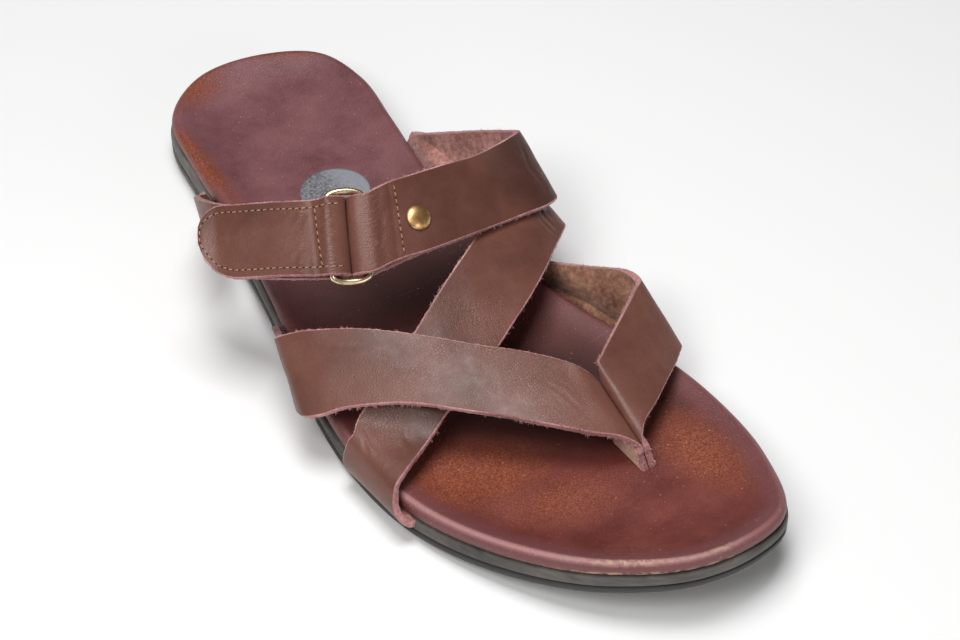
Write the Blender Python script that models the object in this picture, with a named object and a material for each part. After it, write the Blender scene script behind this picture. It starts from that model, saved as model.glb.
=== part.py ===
import math

import bmesh
import bpy
import numpy as np
from mathutils import Matrix

# Flat leather sandal for the right foot, standing empty on its sole.
# Toe towards -Y, heel towards +Y, inner (big toe) side towards +X, Z up.

# Driving sizes, in metres
SOLE_LENGTH = 0.255
BALL_WIDTH = 0.0918
INSTEP_HEIGHT = 0.0581
HEEL_THICKNESS = 0.0104
WAIST_THICKNESS = 0.0111
BALL_THICKNESS = 0.0070
TOE_TOP = 0.0119
TIP_TOP = 0.0200
TOE_SPRING = 0.0130
SPRING_START = 0.70
ARCH_LIFT = 0.0012
RIM_HEIGHT = 0.0048
RIM_WIDTH = 0.0115
SIDE_BULGE = 0.0008
WELL_DEPTH = 0.0015
LEATHER = 0.0020
GAP = 0.0003
TONGUE = 0.0060
RING_WIRE = 0.0011
RING_HALF_LENGTH = 0.0127
RING_HALF_WIDTH = 0.0049
RING_END_RISE = 0.0018
RIVET_HEAD = 0.0037
RIVET_SHANK = 0.0015
ACROSS_STEPS = 4
SIDE_POINTS = 40

# Closed outline of the sole.
# Columns: across (share of BALL_WIDTH), along (share of SOLE_LENGTH)
OUTLINE = (
    (-0.001, 0.497), (0.215, 0.461), (0.282, 0.389), (0.265, 0.301),
    (0.225, 0.172), (0.225, 0.039), (0.337, -0.092), (0.453, -0.202),
    (0.484, -0.290), (0.452, -0.389), (0.326, -0.482), (0.056, -0.496),
    (-0.180, -0.448), (-0.370, -0.366), (-0.511, -0.261), (-0.563, -0.150),
    (-0.542, -0.027), (-0.483, 0.103), (-0.440, 0.232), (-0.423, 0.343),
    (-0.379, 0.440), (-0.209, 0.493),
)

# Straps as pairs of edge points on the grain side, from one foot to the other end.
# Columns: rear edge across, along, up, then front edge across, along, up
# (shares of BALL_WIDTH, SOLE_LENGTH, INSTEP_HEIGHT)
INSTEP_STRAP = (
    (0.302, 0.241, 0.298, 0.344, 0.148, 0.237),
    (0.349, 0.196, 0.421, 0.394, 0.112, 0.316),
    (0.399, 0.155, 0.526, 0.428, 0.076, 0.395),
    (0.436, 0.119, 0.614, 0.447, 0.042, 0.453),
    (0.438, 0.104, 0.658, 0.440, 0.019, 0.491),
    (0.383, 0.088, 0.711, 0.377, 0.001, 0.544),
    (0.305, 0.072, 0.763, 0.294, -0.009, 0.588),
    (0.187, 0.050, 0.842, 0.171, -0.020, 0.640),
    (0.057, 0.038, 0.912, 0.004, -0.032, 0.702),
    (-0.061, 0.031, 0.956, -0.112, -0.038, 0.737),
    (-0.153, 0.027, 0.982, -0.220, -0.038, 0.754),
)
DIAGONAL_STRAP = (
    (0.311, 0.132, 0.246, 0.344, 0.048, 0.219),
    (0.372, 0.096, 0.360, 0.433, 0.014, 0.298),
    (0.389, 0.070, 0.509, 0.434, -0.004, 0.386),
    (0.317, 0.042, 0.610, 0.376, -0.027, 0.430),
    (0.222, 0.012, 0.632, 0.308, -0.051, 0.465),
    (0.121, -0.010, 0.635, 0.235, -0.076, 0.488),
    (0.019, -0.035, 0.632, 0.123, -0.107, 0.488),
    (-0.084, -0.058, 0.611, 0.035, -0.128, 0.484),
    (-0.181, -0.080, 0.578, -0.057, -0.149, 0.464),
    (-0.271, -0.100, 0.541, -0.138, -0.165, 0.446),
    (-0.366, -0.122, 0.487, -0.221, -0.179, 0.418),
    (-0.450, -0.133, 0.410, -0.295, -0.187, 0.365),
    (-0.505, -0.135, 0.330, -0.367, -0.199, 0.318),
)
TOE_STRAP_LATERAL = (
    (-0.556, 0.032, 0.263, -0.594, -0.056, 0.211),
    (-0.593, 0.002, 0.368, -0.641, -0.078, 0.246),
    (-0.604, -0.009, 0.439, -0.648, -0.102, 0.298),
    (-0.558, -0.025, 0.500, -0.608, -0.118, 0.342),
    (-0.513, -0.042, 0.544, -0.556, -0.129, 0.386),
    (-0.419, -0.071, 0.588, -0.457, -0.155, 0.439),
    (-0.325, -0.099, 0.596, -0.385, -0.174, 0.456),
    (-0.232, -0.127, 0.588, -0.295, -0.202, 0.456),
    (-0.138, -0.154, 0.570, -0.180, -0.236, 0.447),
    (-0.039, -0.178, 0.544, -0.085, -0.265, 0.430),
    (0.054, -0.205, 0.514, 0.016, -0.293, 0.400),
    (0.100, -0.223, 0.491, 0.095, -0.308, 0.368),
)
TOE_STRAP_MEDIAL = (
    (0.278, 0.008, 0.246, 0.458, -0.150, 0.170),
    (0.328, -0.035, 0.325, 0.476, -0.172, 0.177),
    (0.417, -0.081, 0.386, 0.484, -0.190, 0.190),
    (0.470, -0.113, 0.439, 0.496, -0.204, 0.224),
    (0.471, -0.136, 0.470, 0.494, -0.213, 0.268),
    (0.425, -0.152, 0.488, 0.426, -0.236, 0.295),
    (0.358, -0.171, 0.495, 0.353, -0.257, 0.321),
    (0.258, -0.198, 0.495, 0.260, -0.284, 0.347),
    (0.188, -0.217, 0.491, 0.190, -0.302, 0.361),
    (0.156, -0.2265, 0.483, 0.163, -0.312, 0.345),
)
TOE_POST = (
    (0.141, -0.239, 0.425, 0.147, -0.321, 0.307),
    (0.146, -0.256, 0.342, 0.150, -0.326, 0.254),
    (0.148, -0.276, 0.254, 0.152, -0.333, 0.202),
    (0.149, -0.294, 0.167, 0.153, -0.337, 0.140),
    (0.149, -0.298, 0.128, 0.153, -0.338, 0.105),
)
BUCKLE_STRAP = (
    (-0.500, 0.264, 0.333, -0.522, 0.176, 0.298),
    (-0.567, 0.224, 0.509, -0.606, 0.144, 0.412),
    (-0.583, 0.184, 0.640, -0.644, 0.110, 0.491),
    (-0.561, 0.144, 0.737, -0.639, 0.078, 0.553),
    (-0.494, 0.104, 0.816, -0.583, 0.046, 0.605),
)
FASTENING_TAB = (
    (-0.379, 0.042, 0.982, -0.478, -0.015, 0.763),
    (-0.436, 0.059, 0.956, -0.521, 0.001, 0.737),
    (-0.479, 0.077, 0.921, -0.567, 0.017, 0.711),
    (-0.525, 0.094, 0.886, -0.612, 0.034, 0.675),
    (-0.564, 0.111, 0.847, -0.655, 0.050, 0.649),
    (-0.598, 0.125, 0.816, -0.683, 0.068, 0.640),
    (-0.622, 0.128, 0.798, -0.693, 0.080, 0.658),
    (-0.650, 0.127, 0.772, -0.699, 0.093, 0.684),
    (-0.670, 0.122, 0.747, -0.694, 0.106, 0.698),
)

# Where the straps enter the sole: side, rear and front along (share of SOLE_LENGTH)
FEET = {
    "instep": ("medial", 0.262, 0.176),
    "diagonal_medial": ("medial", 0.160, 0.076),
    "toe_medial": ("medial", 0.034, -0.135),
    "buckle": ("lateral", 0.288, 0.202),
    "toe_lateral": ("lateral", 0.052, -0.036),
    "diagonal_lateral": ("lateral", -0.146, -0.249),
}

# Ring: centre, and the direction of its long sides (from rear to front)
RING_CENTRE = (-0.327, 0.004, 0.835)
RING_LONG_WAY = (-0.32, -0.75, -0.60)


def scaled(row):
    size = (BALL_WIDTH, SOLE_LENGTH, INSTEP_HEIGHT)
    return np.array([value * size[i % 3] for i, value in enumerate(row)])


def table(rows):
    return np.array([scaled(row) for row in rows])


def unit(vector):
    return vector / np.linalg.norm(vector)


def plain_material(name, colour, roughness, metallic=0.0):
    material = bpy.data.materials.new(name)
    material.use_nodes = True
    shader = material.node_tree.nodes["Principled BSDF"]
    shader.inputs["Base Color"].default_value = (*colour, 1.0)
    shader.inputs["Roughness"].default_value = roughness
    shader.inputs["Metallic"].default_value = metallic
    material.diffuse_color = (*colour, 1.0)
    return material


def mesh_object(name, points, faces, material=None):
    mesh = bpy.data.meshes.new(name)
    mesh.from_pydata([tuple(float(c) for c in p) for p in points], [], faces)
    shape = bmesh.new()
    shape.from_mesh(mesh)
    bmesh.ops.remove_doubles(shape, verts=shape.verts, dist=1e-7)
    bmesh.ops.recalc_face_normals(shape, faces=shape.faces)
    shape.to_mesh(mesh)
    shape.free()
    piece = bpy.data.objects.new(name, mesh)
    bpy.context.collection.objects.link(piece)
    if material is not None:
        mesh.materials.append(material)
    return piece


def curve_through(points, count, closed=False):
    """Evenly spaced points of a smooth curve through the rows of a table."""
    points = np.asarray(points, float)
    if closed:
        points = np.vstack([points[-2:], points, points[:3]])
    else:
        first = 2 * points[0] - points[1]
        last = 2 * points[-1] - points[-2]
        points = np.vstack([first, points, last])
    samples = []
    spans = range(2, len(points) - 3) if closed else range(1, len(points) - 2)
    for i in spans:
        p0, p1, p2, p3 = points[i - 1], points[i], points[i + 1], points[i + 2]
        t1 = max(np.linalg.norm(p1 - p0), 1e-9) ** 0.5
        t2 = t1 + max(np.linalg.norm(p2 - p1), 1e-9) ** 0.5
        t3 = t2 + max(np.linalg.norm(p3 - p2), 1e-9) ** 0.5
        for t in np.linspace(t1, t2, 12, endpoint=False):
            a1 = p0 * (t1 - t) / t1 + p1 * t / t1
            a2 = p1 * (t2 - t) / (t2 - t1) + p2 * (t - t1) / (t2 - t1)
            a3 = p2 * (t3 - t) / (t3 - t2) + p3 * (t - t2) / (t3 - t2)
            b1 = a1 * (t2 - t) / t2 + a2 * t / t2
            b2 = a2 * (t3 - t) / (t3 - t1) + a3 * (t - t1) / (t3 - t1)
            samples.append(b1 * (t2 - t) / (t2 - t1) + b2 * (t - t1) / (t2 - t1))
    if closed:
        samples.append(samples[0])
    else:
        samples.append(points[-2])
    samples = np.array(samples)
    travelled = np.concatenate([[0], np.cumsum(np.linalg.norm(np.diff(samples, axis=0), axis=1))])
    wanted = np.linspace(0, travelled[-1], count)
    return np.array([np.interp(wanted, travelled, samples[:, k]) for k in range(samples.shape[1])]).T


# Sole outline, split at the heel tip and the toe tip into two sides of equal count
def sole_sides():
    plan = np.array([(a * BALL_WIDTH, b * SOLE_LENGTH) for a, b in OUTLINE])
    loop = curve_through(plan, 721, closed=True)[:-1]
    heel = int(np.argmax(loop[:, 1]))
    loop = np.roll(loop, -heel, axis=0)
    toe = int(np.argmin(loop[:, 1]))
    medial = loop[:toe + 1]
    lateral = np.vstack([loop[toe:], loop[:1]])[::-1]
    sides = []
    for side in (medial, lateral):
        travelled = np.concatenate([[0], np.cumsum(np.linalg.norm(np.diff(side, axis=0), axis=1))])
        wanted = np.linspace(0, travelled[-1], SIDE_POINTS + 1)
        sides.append(np.array([np.interp(wanted, travelled, side[:, k]) for k in range(2)]).T)
    return sides


MEDIAL, LATERAL = sole_sides()
EDGE = np.vstack([MEDIAL, LATERAL[1:-1][::-1]])
EDGE_COUNT = len(EDGE)
HEEL_Y = float(EDGE[:, 1].max())
TOE_Y = float(EDGE[:, 1].min())
TANGENT = np.roll(EDGE, -1, axis=0) - np.roll(EDGE, 1, axis=0)
TANGENT = TANGENT / np.linalg.norm(TANGENT, axis=1)[:, None]
OUTWARD = np.stack([-TANGENT[:, 1], TANGENT[:, 0]], axis=1)
if np.sum(OUTWARD * (EDGE - EDGE.mean(axis=0))) < 0:
    OUTWARD = -OUTWARD


def step_share(y):
    return (HEEL_Y - np.asarray(y)) / (HEEL_Y - TOE_Y)


def smooth_step(low, high, value):
    t = np.clip((value - low) / (high - low), 0, 1)
    return t * t * (3 - 2 * t)


def feather(y):
    """Height of the line where the footbed meets the outsole."""
    s = step_share(y)
    waist = HEEL_THICKNESS + (WAIST_THICKNESS - HEEL_THICKNESS) * smooth_step(0.15, 0.45, s)
    ball = waist + (BALL_THICKNESS - waist) * smooth_step(0.42, 0.72, s)
    rise = np.clip((s - 0.70) / 0.30, 0, 1)
    tip = (TIP_TOP - BALL_THICKNESS) * rise ** 2
    ease = (TOE_TOP - BALL_THICKNESS) - (TIP_TOP - BALL_THICKNESS) * 0.36
    return ball + tip + ease * np.sin(np.pi * rise) ** 2


def underside(y):
    """Height of the tread: flat at the heel and the ball, lifted between and at the toe."""
    s = step_share(y)
    spring = TOE_SPRING * np.clip((s - SPRING_START) / (1 - SPRING_START), 0, 1) ** 2
    arch = ARCH_LIFT * smooth_step(0.30, 0.37, s) * (1 - smooth_step(0.41, 0.48, s))
    return spring + arch


def ring_at(inset, height):
    """One loop round the sole: inset from its outline, height(y) above the floor."""
    flat = EDGE - OUTWARD * inset
    return np.column_stack([flat, height(flat[:, 1])])


def stack_faces(ring_count):
    faces = []
    for r in range(ring_count - 1):
        for k in range(EDGE_COUNT):
            n = (k + 1) % EDGE_COUNT
            a = r * EDGE_COUNT
            b = a + EDGE_COUNT
            faces.append((a + k, a + n, b + n, b + k))
    return faces


def cap(points, faces, start, height, steps=6):
    """Close a loop with cross strips whose inner points follow height(x, y)."""
    base = len(points)
    rows = []
    for i in range(1, SIDE_POINTS):
        near = start + i
        far = start + (EDGE_COUNT - i)
        row = [near]
        for j in range(1, steps):
            p = points[near] + (points[far] - points[near]) * j / steps
            points.append(np.array([p[0], p[1], height(p[0], p[1])]))
            row.append(len(points) - 1)
        row.append(far)
        rows.append(row)
    for a, b in zip(rows, rows[1:]):
        for j in range(steps):
            faces.append((a[j], b[j], b[j + 1], a[j + 1]))
    for tip, row in ((start, rows[0]), (start + SIDE_POINTS, rows[-1])):
        for j in range(steps):
            faces.append((tip, row[j], row[j + 1]))
    return base


def closed_stack(name, rings, low_height, high_height, material):
    points = [p for ring in rings for p in ring]
    faces = stack_faces(len(rings))
    cap(points, faces, 0, low_height)
    cap(points, faces, (len(rings) - 1) * EDGE_COUNT, high_height)
    return mesh_object(name, points, faces, material)


def between(share):
    return lambda y: underside(y) + (feather(y) - underside(y)) * share


# Side of the outsole, from the tread up.
# Columns: inset (share of SIDE_BULGE), share of the local thickness
OUTSOLE_SIDE = (
    (2.75, 0.00),
    (0.50, 0.06),
    (-0.75, 0.16),
    (-1.00, 0.38),
    (-0.75, 0.44),
    (0.38, 0.47),
    (0.38, 0.52),
    (-0.75, 0.55),
    (-1.00, 0.70),
    (-0.75, 0.92),
    (0.00, 1.00),
)


def build_outsole():
    rings = [ring_at(0.87 * RIM_WIDTH, underside)]
    rings += [ring_at(inset * SIDE_BULGE, between(share)) for inset, share in OUTSOLE_SIDE]
    rings.append(ring_at(0.565 * RIM_WIDTH, feather))
    rings.append(ring_at(0.74 * RIM_WIDTH, lambda y: feather(y) - WELL_DEPTH))
    material = plain_material("outsole", (0.060, 0.052, 0.045), 0.75)
    low = lambda x, y: float(underside(y))
    high = lambda x, y: float(feather(y)) - WELL_DEPTH
    return closed_stack("outsole", rings, low, high, material)


# Section of the footbed's edge, from its underside round the rim to the footing.
# Columns: inset (share of RIM_WIDTH), share of RIM_HEIGHT above the feather line
FOOTBED_EDGE = (
    (0.104, 0.07),
    (0.026, 0.18),
    (0.000, 0.40),
    (0.017, 0.68),
    (0.078, 0.90),
    (0.183, 1.00),
    (0.313, 0.96),
    (0.487, 0.78),
    (0.713, 0.55),
    (1.000, 0.38),
)


def footing(x, y):
    s = float(step_share(y))
    arch = 0.375 * RIM_HEIGHT * math.exp(-((s - 0.42) / 0.13) ** 2) * smooth_step(0.0, 0.25 * BALL_WIDTH, x)
    ridge = 0.21 * RIM_HEIGHT * math.exp(-((s - 0.80) / 0.05) ** 2)
    return float(feather(y)) + 0.28 * RIM_HEIGHT + float(arch) + ridge


def build_footbed():
    rings = [ring_at(0.80 * RIM_WIDTH, lambda y: feather(y) - WELL_DEPTH + GAP)]
    rings.append(ring_at(0.626 * RIM_WIDTH, lambda y: feather(y) + GAP))
    for inset, share in FOOTBED_EDGE:
        rings.append(ring_at(inset * RIM_WIDTH, lambda y, lift=share * RIM_HEIGHT: feather(y) + lift))
    material = plain_material("footbed", (0.190, 0.062, 0.052), 0.45)
    low = lambda x, y: float(feather(y)) - WELL_DEPTH + GAP
    return closed_stack("footbed", rings, low, footing, material)


# A strap: two edges, a thickness and the side its grain faces
def ribbon_normals(rear, front, sign):
    middle = (rear + front) / 2
    along = np.gradient(middle, axis=0)
    across = front - rear
    normal = np.cross(along, across) * sign
    return normal / np.linalg.norm(normal, axis=1)[:, None]


def ribbon(name, rows, count, sign, material=None):
    path = curve_through(rows, count)
    rear = path[:, :3]
    front = path[:, 3:]
    steps = ACROSS_STEPS
    shares = np.linspace(0, 1, steps + 1)
    outer = rear[:, None] + (front - rear)[:, None] * shares[None, :, None]
    along = np.gradient(outer, axis=0)
    across = np.broadcast_to((front - rear)[:, None], outer.shape)
    normal = np.cross(along, across) * sign
    normal = normal / np.linalg.norm(normal, axis=2)[..., None]
    inner = outer - normal * LEATHER
    points = list(outer.reshape(-1, 3)) + list(inner.reshape(-1, 3))
    wide = steps + 1
    half = count * wide
    faces = []
    for i in range(count - 1):
        for j in range(steps):
            a = i * wide + j
            faces.append((a, a + 1, a + 1 + wide, a + wide))
            b = half + a
            faces.append((b, b + wide, b + 1 + wide, b + 1))
        for j in (0, steps):
            a = i * wide + j
            faces.append((a, a + wide, half + a + wide, half + a))
    for i in (0, count - 1):
        for j in range(steps):
            a = i * wide + j
            faces.append((a, a + 1, half + a + 1, half + a))
    return mesh_object(name, points, faces, material)


def edge_point(side, y):
    line = MEDIAL if side == "medial" else LATERAL
    order = np.argsort(line[:, 1])
    x = float(np.interp(y, line[order, 1], line[order, 0]))
    step = LEATHER
    x1 = float(np.interp(y + step, line[order, 1], line[order, 0]))
    x0 = float(np.interp(y - step, line[order, 1], line[order, 0]))
    direction = np.array([2 * step, -(x1 - x0), 0.0])
    direction = direction / np.linalg.norm(direction)
    if side == "lateral":
        direction = -direction
    return np.array([x, y, float(feather(y))]), direction


def foot_row(foot, out, up, lean=0.0):
    """A pair of edge points beside the sole: out from its outline, up from the feather line.

    The lean moves the front edge back towards the heel, as a share of SOLE_LENGTH.
    """
    side, rear_share, front_share = FEET[foot]
    row = []
    for share in (rear_share, front_share + lean):
        point, outward = edge_point(side, share * SOLE_LENGTH)
        point = point + outward * out
        point[2] += up
        row.extend(point)
    return row


def foot_rows(foot, flare=0.0):
    """From the tongue's inner end out of the sole and up its side, on the grain side.

    The flare leans the last row outward, in thicknesses of leather.
    """
    return [
        foot_row(foot, -TONGUE, -LEATHER - GAP),
        foot_row(foot, -0.45 * TONGUE, -LEATHER - GAP),
        foot_row(foot, 0.1 * LEATHER, -LEATHER - GAP),
        foot_row(foot, 0.95 * LEATHER, -0.6 * LEATHER),
        foot_row(foot, (1.35 + 0.3 * flare) * LEATHER, 0.6 * LEATHER),
        foot_row(foot, (1.45 + flare) * LEATHER, 1.8 * LEATHER),
    ]


def over_rim_rows(foot):
    """From above the rim down its outside and into the sole, on the grain side."""
    return [
        foot_row(foot, -1.2 * LEATHER, RIM_HEIGHT + 2.9 * LEATHER, 0.018),
        foot_row(foot, 0.4 * LEATHER, RIM_HEIGHT + 2.3 * LEATHER, 0.014),
        foot_row(foot, 1.35 * LEATHER, RIM_HEIGHT + 0.6 * LEATHER, 0.009),
        foot_row(foot, 1.7 * LEATHER, 1.45 * LEATHER, 0.004),
        foot_row(foot, 1.6 * LEATHER, 0.1 * LEATHER, 0.001),
        foot_row(foot, 1.15 * LEATHER, -0.85 * LEATHER),
    ] + foot_rows(foot)[2::-1]


def shifted(rows, sign, distance):
    rows = np.asarray(rows)
    normal = ribbon_normals(rows[:, :3], rows[:, 3:], sign)
    return rows - np.hstack([normal, normal]) * distance


def ring_frame():
    centre = scaled(RING_CENTRE)
    long_way = unit(np.array(RING_LONG_WAY))
    top = table(INSTEP_STRAP)[-1]
    tab = table(FASTENING_TAB)[0]
    to_instep = (top[:3] + top[3:]) / 2 - (tab[:3] + tab[3:]) / 2
    to_instep = unit(to_instep - long_way * np.dot(to_instep, long_way))
    up = np.cross(to_instep, -long_way)
    if up[2] < 0:
        up = -up
    return centre, long_way, to_instep, up


def loop_rows(towards, width, steps=7, start=90.0, stop=-90.0):
    """Half a turn round one long side of the ring, on the outside of the strap."""
    centre, long_way, to_instep, up = ring_frame()
    core = centre + to_instep * towards * RING_HALF_WIDTH
    radius = RING_WIRE + 3 * GAP + LEATHER
    rows = []
    for i in range(steps):
        angle = math.radians(start + (stop - start) * i / (steps - 1))
        offset = -to_instep * towards * math.cos(angle) * radius + up * math.sin(angle) * radius
        middle = core + offset
        rows.append([*(middle - long_way * width / 2), *(middle + long_way * width / 2)])
    return rows


def block(name, centre, axes, sizes):
    points = []
    for sx in (-0.5, 0.5):
        for sy in (-0.5, 0.5):
            for sz in (-0.5, 0.5):
                reach = np.array([sx, sy, sz]) * sizes
                points.append(centre + axes[0] * reach[0] + axes[1] * reach[1] + axes[2] * reach[2])
    faces = [(0, 1, 3, 2), (4, 6, 7, 5), (0, 4, 5, 1), (2, 3, 7, 6), (0, 2, 6, 4), (1, 5, 7, 3)]
    return mesh_object(name, points, faces)


def turned(name, profile, centre, axis, count=24, material=None):
    """A closed body of revolution. Profile columns: radius, height along the axis."""
    axis = unit(axis)
    side = unit(np.cross(axis, np.array([0.0, 1.0, 0.3])))
    other = np.cross(axis, side)
    points = []
    faces = []
    for radius, height in profile[1:-1]:
        for k in range(count):
            angle = 2 * math.pi * k / count
            way = side * math.cos(angle) + other * math.sin(angle)
            points.append(centre + way * radius + axis * height)
    rings = len(profile) - 2
    for r in range(rings - 1):
        for k in range(count):
            n = (k + 1) % count
            faces.append((r * count + k, r * count + n, (r + 1) * count + n, (r + 1) * count + k))
    points.append(centre + axis * profile[0][1])
    points.append(centre + axis * profile[-1][1])
    for k in range(count):
        n = (k + 1) % count
        faces.append((rings * count, n, k))
        faces.append((rings * count + 1, (rings - 1) * count + k, (rings - 1) * count + n))
    return mesh_object(name, points, faces, material)


def combine(target, tool, operation):
    modifier = target.modifiers.new("join", "BOOLEAN")
    modifier.operation = operation
    modifier.solver = "EXACT"
    modifier.object = tool
    graph = bpy.context.evaluated_depsgraph_get()
    result = bpy.data.meshes.new_from_object(target.evaluated_get(graph))
    target.modifiers.clear()
    old = target.data
    target.data = result
    result.name = target.name
    bpy.data.meshes.remove(old)
    bpy.data.objects.remove(tool)


def seam_pad(name, upper_rows, lower_rows, place):
    """A short round pad that joins two straps where they cross, hidden between them."""
    radius = 2.1 * LEATHER
    top = nearest_on(upper_rows, place)
    low = nearest_on(lower_rows, place)
    axis = unit(top[1] + low[1])
    start = low[0] - low[1] * LEATHER * 0.5
    finish = top[0] - top[1] * LEATHER * 0.5
    height = float(np.dot(finish - start, axis))
    profile = ((0.0, 0.0), (radius, 0.0), (radius, height), (0.0, height))
    return turned(name, profile, start, axis, count=12)


def nearest_on(rows, place):
    """Point and grain normal of a strap nearest to a place seen from above."""
    path = curve_through(rows[0], 90)
    normals = ribbon_normals(path[:, :3], path[:, 3:], rows[1])
    best = None
    for share in np.linspace(0.1, 0.9, 17):
        points = path[:, :3] + (path[:, 3:] - path[:, :3]) * share
        gaps = np.hypot(points[:, 0] - place[0], points[:, 1] - place[1]) - 0.02 * points[:, 2]
        i = int(np.argmin(gaps))
        if best is None or gaps[i] < best[0]:
            best = (gaps[i], points[i], normals[i])
    return best[1], best[2]


def build_straps():
    leather = plain_material("upper", (0.150, 0.075, 0.055), 0.50)
    lined = plain_material("buckle_strap", (0.155, 0.078, 0.058), 0.50)
    centre, long_way, to_instep, up = ring_frame()
    width = float(np.linalg.norm(table(INSTEP_STRAP)[-1][:3] - table(INSTEP_STRAP)[-1][3:]))

    # instep strap, turned back round the ring and laid under itself as far as the rivet
    top = table(INSTEP_STRAP)
    back = shifted(top, 1, 2 * LEATHER + GAP)[::-1]
    loop = loop_rows(1, width)
    instep_rows = foot_rows("instep", 0.6) + list(top) + loop + list(back[1:4])
    upper = ribbon("upper", instep_rows, 54, 1, material=leather)

    diagonal_rows = foot_rows("diagonal_medial", 0.5) + list(table(DIAGONAL_STRAP))
    diagonal_rows += over_rim_rows("diagonal_lateral")
    diagonal = ribbon("diagonal", diagonal_rows, 48, 1)

    post = table(TOE_POST)
    shift = np.array([GAP / 2, 0, 0, GAP / 2, 0, 0])
    lateral_rows = foot_rows("toe_lateral", 0.6) + list(table(TOE_STRAP_LATERAL)) + list(post + shift)
    lateral = ribbon("toe_lateral", lateral_rows, 46, -1)
    medial_rows = foot_rows("toe_medial", 0.6) + list(table(TOE_STRAP_MEDIAL)) + list(post - shift)
    medial = ribbon("toe_medial", medial_rows, 42, 1)

    crossings = (
        ("instep_seam", (top, 1), (table(DIAGONAL_STRAP), 1), (0.300, 0.020)),
        ("forefoot_seam", (table(TOE_STRAP_LATERAL), -1), (table(DIAGONAL_STRAP), 1), (-0.262, -0.150)),
    )
    pads = []
    for name, over, under, place in crossings:
        spot = (place[0] * BALL_WIDTH, place[1] * SOLE_LENGTH)
        pads.append(seam_pad(name, over, under, spot))

    combine(lateral, medial, "UNION")
    combine(upper, pads[0], "UNION")
    combine(upper, diagonal, "UNION")
    combine(upper, pads[1], "UNION")
    combine(upper, lateral, "UNION")

    # fastening strap: up from the sole, round the ring and folded back over itself
    outside = np.array([*map(np.array, foot_rows("buckle", 0.5)), *table(BUCKLE_STRAP)])
    inside = shifted(outside, -1, LEATHER)
    inside[:3] = outside[:3] + np.array([0, 0, LEATHER, 0, 0, LEATHER])
    turn = loop_rows(-1, width, start=-90.0, stop=90.0)
    tab = table(FASTENING_TAB)
    buckle_rows = list(inside) + turn + list(tab)
    buckle = ribbon("buckle_strap", buckle_rows, 60, 1, material=lined)
    return upper, buckle


def build_ring():
    centre, long_way, to_instep, up = ring_frame()
    straight = RING_HALF_LENGTH - RING_END_RISE
    loop = []
    for degrees in range(0, 361, 2):
        c = math.cos(math.radians(degrees))
        s = math.sin(math.radians(degrees))
        along = RING_END_RISE * c + math.copysign(straight, c)
        loop.append((along, RING_HALF_WIDTH * s))
    loop = np.array(loop)
    travelled = np.concatenate([[0], np.cumsum(np.linalg.norm(np.diff(loop, axis=0), axis=1))])
    wanted = np.linspace(0, travelled[-1], 37)[:-1]
    path = np.array([np.interp(wanted, travelled, column) for column in loop.T]).T
    tangent = np.roll(path, -1, axis=0) - np.roll(path, 1, axis=0)
    tangent = tangent / np.linalg.norm(tangent, axis=1)[:, None]
    points = []
    faces = []
    count = 8
    for (along, side), (ta, ts) in zip(path, tangent):
        middle = centre + long_way * along + to_instep * side
        outward = unit(long_way * ts - to_instep * ta)
        for k in range(count):
            angle = 2 * math.pi * k / count
            points.append(middle + (outward * math.cos(angle) + up * math.sin(angle)) * RING_WIRE)
    total = len(path)
    for i in range(total):
        m = (i + 1) % total
        for k in range(count):
            n = (k + 1) % count
            faces.append((i * count + k, i * count + n, m * count + n, m * count + k))
    material = plain_material("ring", (0.60, 0.47, 0.28), 0.35, 1.0)
    return mesh_object("ring", points, faces, material)


def rivet_frame():
    rows = table(INSTEP_STRAP)
    return nearest_on((rows, 1), (-0.103 * BALL_WIDTH, -0.013 * SOLE_LENGTH))


def build_rivet():
    point, normal = rivet_frame()
    depth = 2 * LEATHER + 4 * GAP
    r = RIVET_HEAD
    profile = (
        (0.0, 0.36 * r + GAP),
        (0.28 * r, 0.34 * r + GAP),
        (0.62 * r, 0.28 * r + GAP),
        (0.90 * r, 0.15 * r + GAP),
        (r, GAP),
        (RIVET_SHANK, GAP),
        (RIVET_SHANK, -depth - GAP),
        (0.9 * r, -depth - GAP),
        (0.85 * r, -depth - GAP - 0.13 * r),
        (0.0, -depth - GAP - 0.19 * r),
    )
    material = plain_material("rivet", (0.62, 0.43, 0.16), 0.30, 1.0)
    return turned("rivet", profile, point, normal, material=material)


for old in list(bpy.data.objects):
    bpy.data.objects.remove(old, do_unlink=True)

outsole = build_outsole()
footbed = build_footbed()
upper, buckle_strap = build_straps()
ring = build_ring()
rivet = build_rivet()

# Hole for the rivet through both layers of the instep strap
hole_point, hole_normal = rivet_frame()
hole_radius = RIVET_SHANK + GAP
reach = 4 * LEATHER
hole_profile = ((0, 0), (hole_radius, 0), (hole_radius, reach), (0, reach))
hole = turned("hole", hole_profile, hole_point - hole_normal * 3 * LEATHER, hole_normal)
combine(upper, hole, "DIFFERENCE")

# Pockets in the outsole for the strap feet, and the slot for the toe post
for foot, (side, rear_share, front_share) in FEET.items():
    rear, out_rear = edge_point(side, rear_share * SOLE_LENGTH)
    front, out_front = edge_point(side, front_share * SOLE_LENGTH)
    run = unit(rear - front)
    outward = unit(out_rear + out_front)
    outward = unit(outward - run * np.dot(outward, run))
    rise = np.cross(outward, run)
    if rise[2] < 0:
        rise = -rise
    middle, ignore = edge_point(side, (rear_share + front_share) / 2 * SOLE_LENGTH)
    length = float(np.linalg.norm(rear - front)) + 1.5 * LEATHER
    low = -LEATHER - 3.4 * GAP
    high = 3 * LEATHER
    inner = -TONGUE - 0.5 * LEATHER
    outer = 3 * LEATHER
    centre = middle + outward * (inner + outer) / 2 + rise * (low + high) / 2
    pocket = block("pocket", centre, (run, outward, rise), (length, outer - inner, high - low))
    combine(outsole, pocket, "DIFFERENCE")

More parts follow.
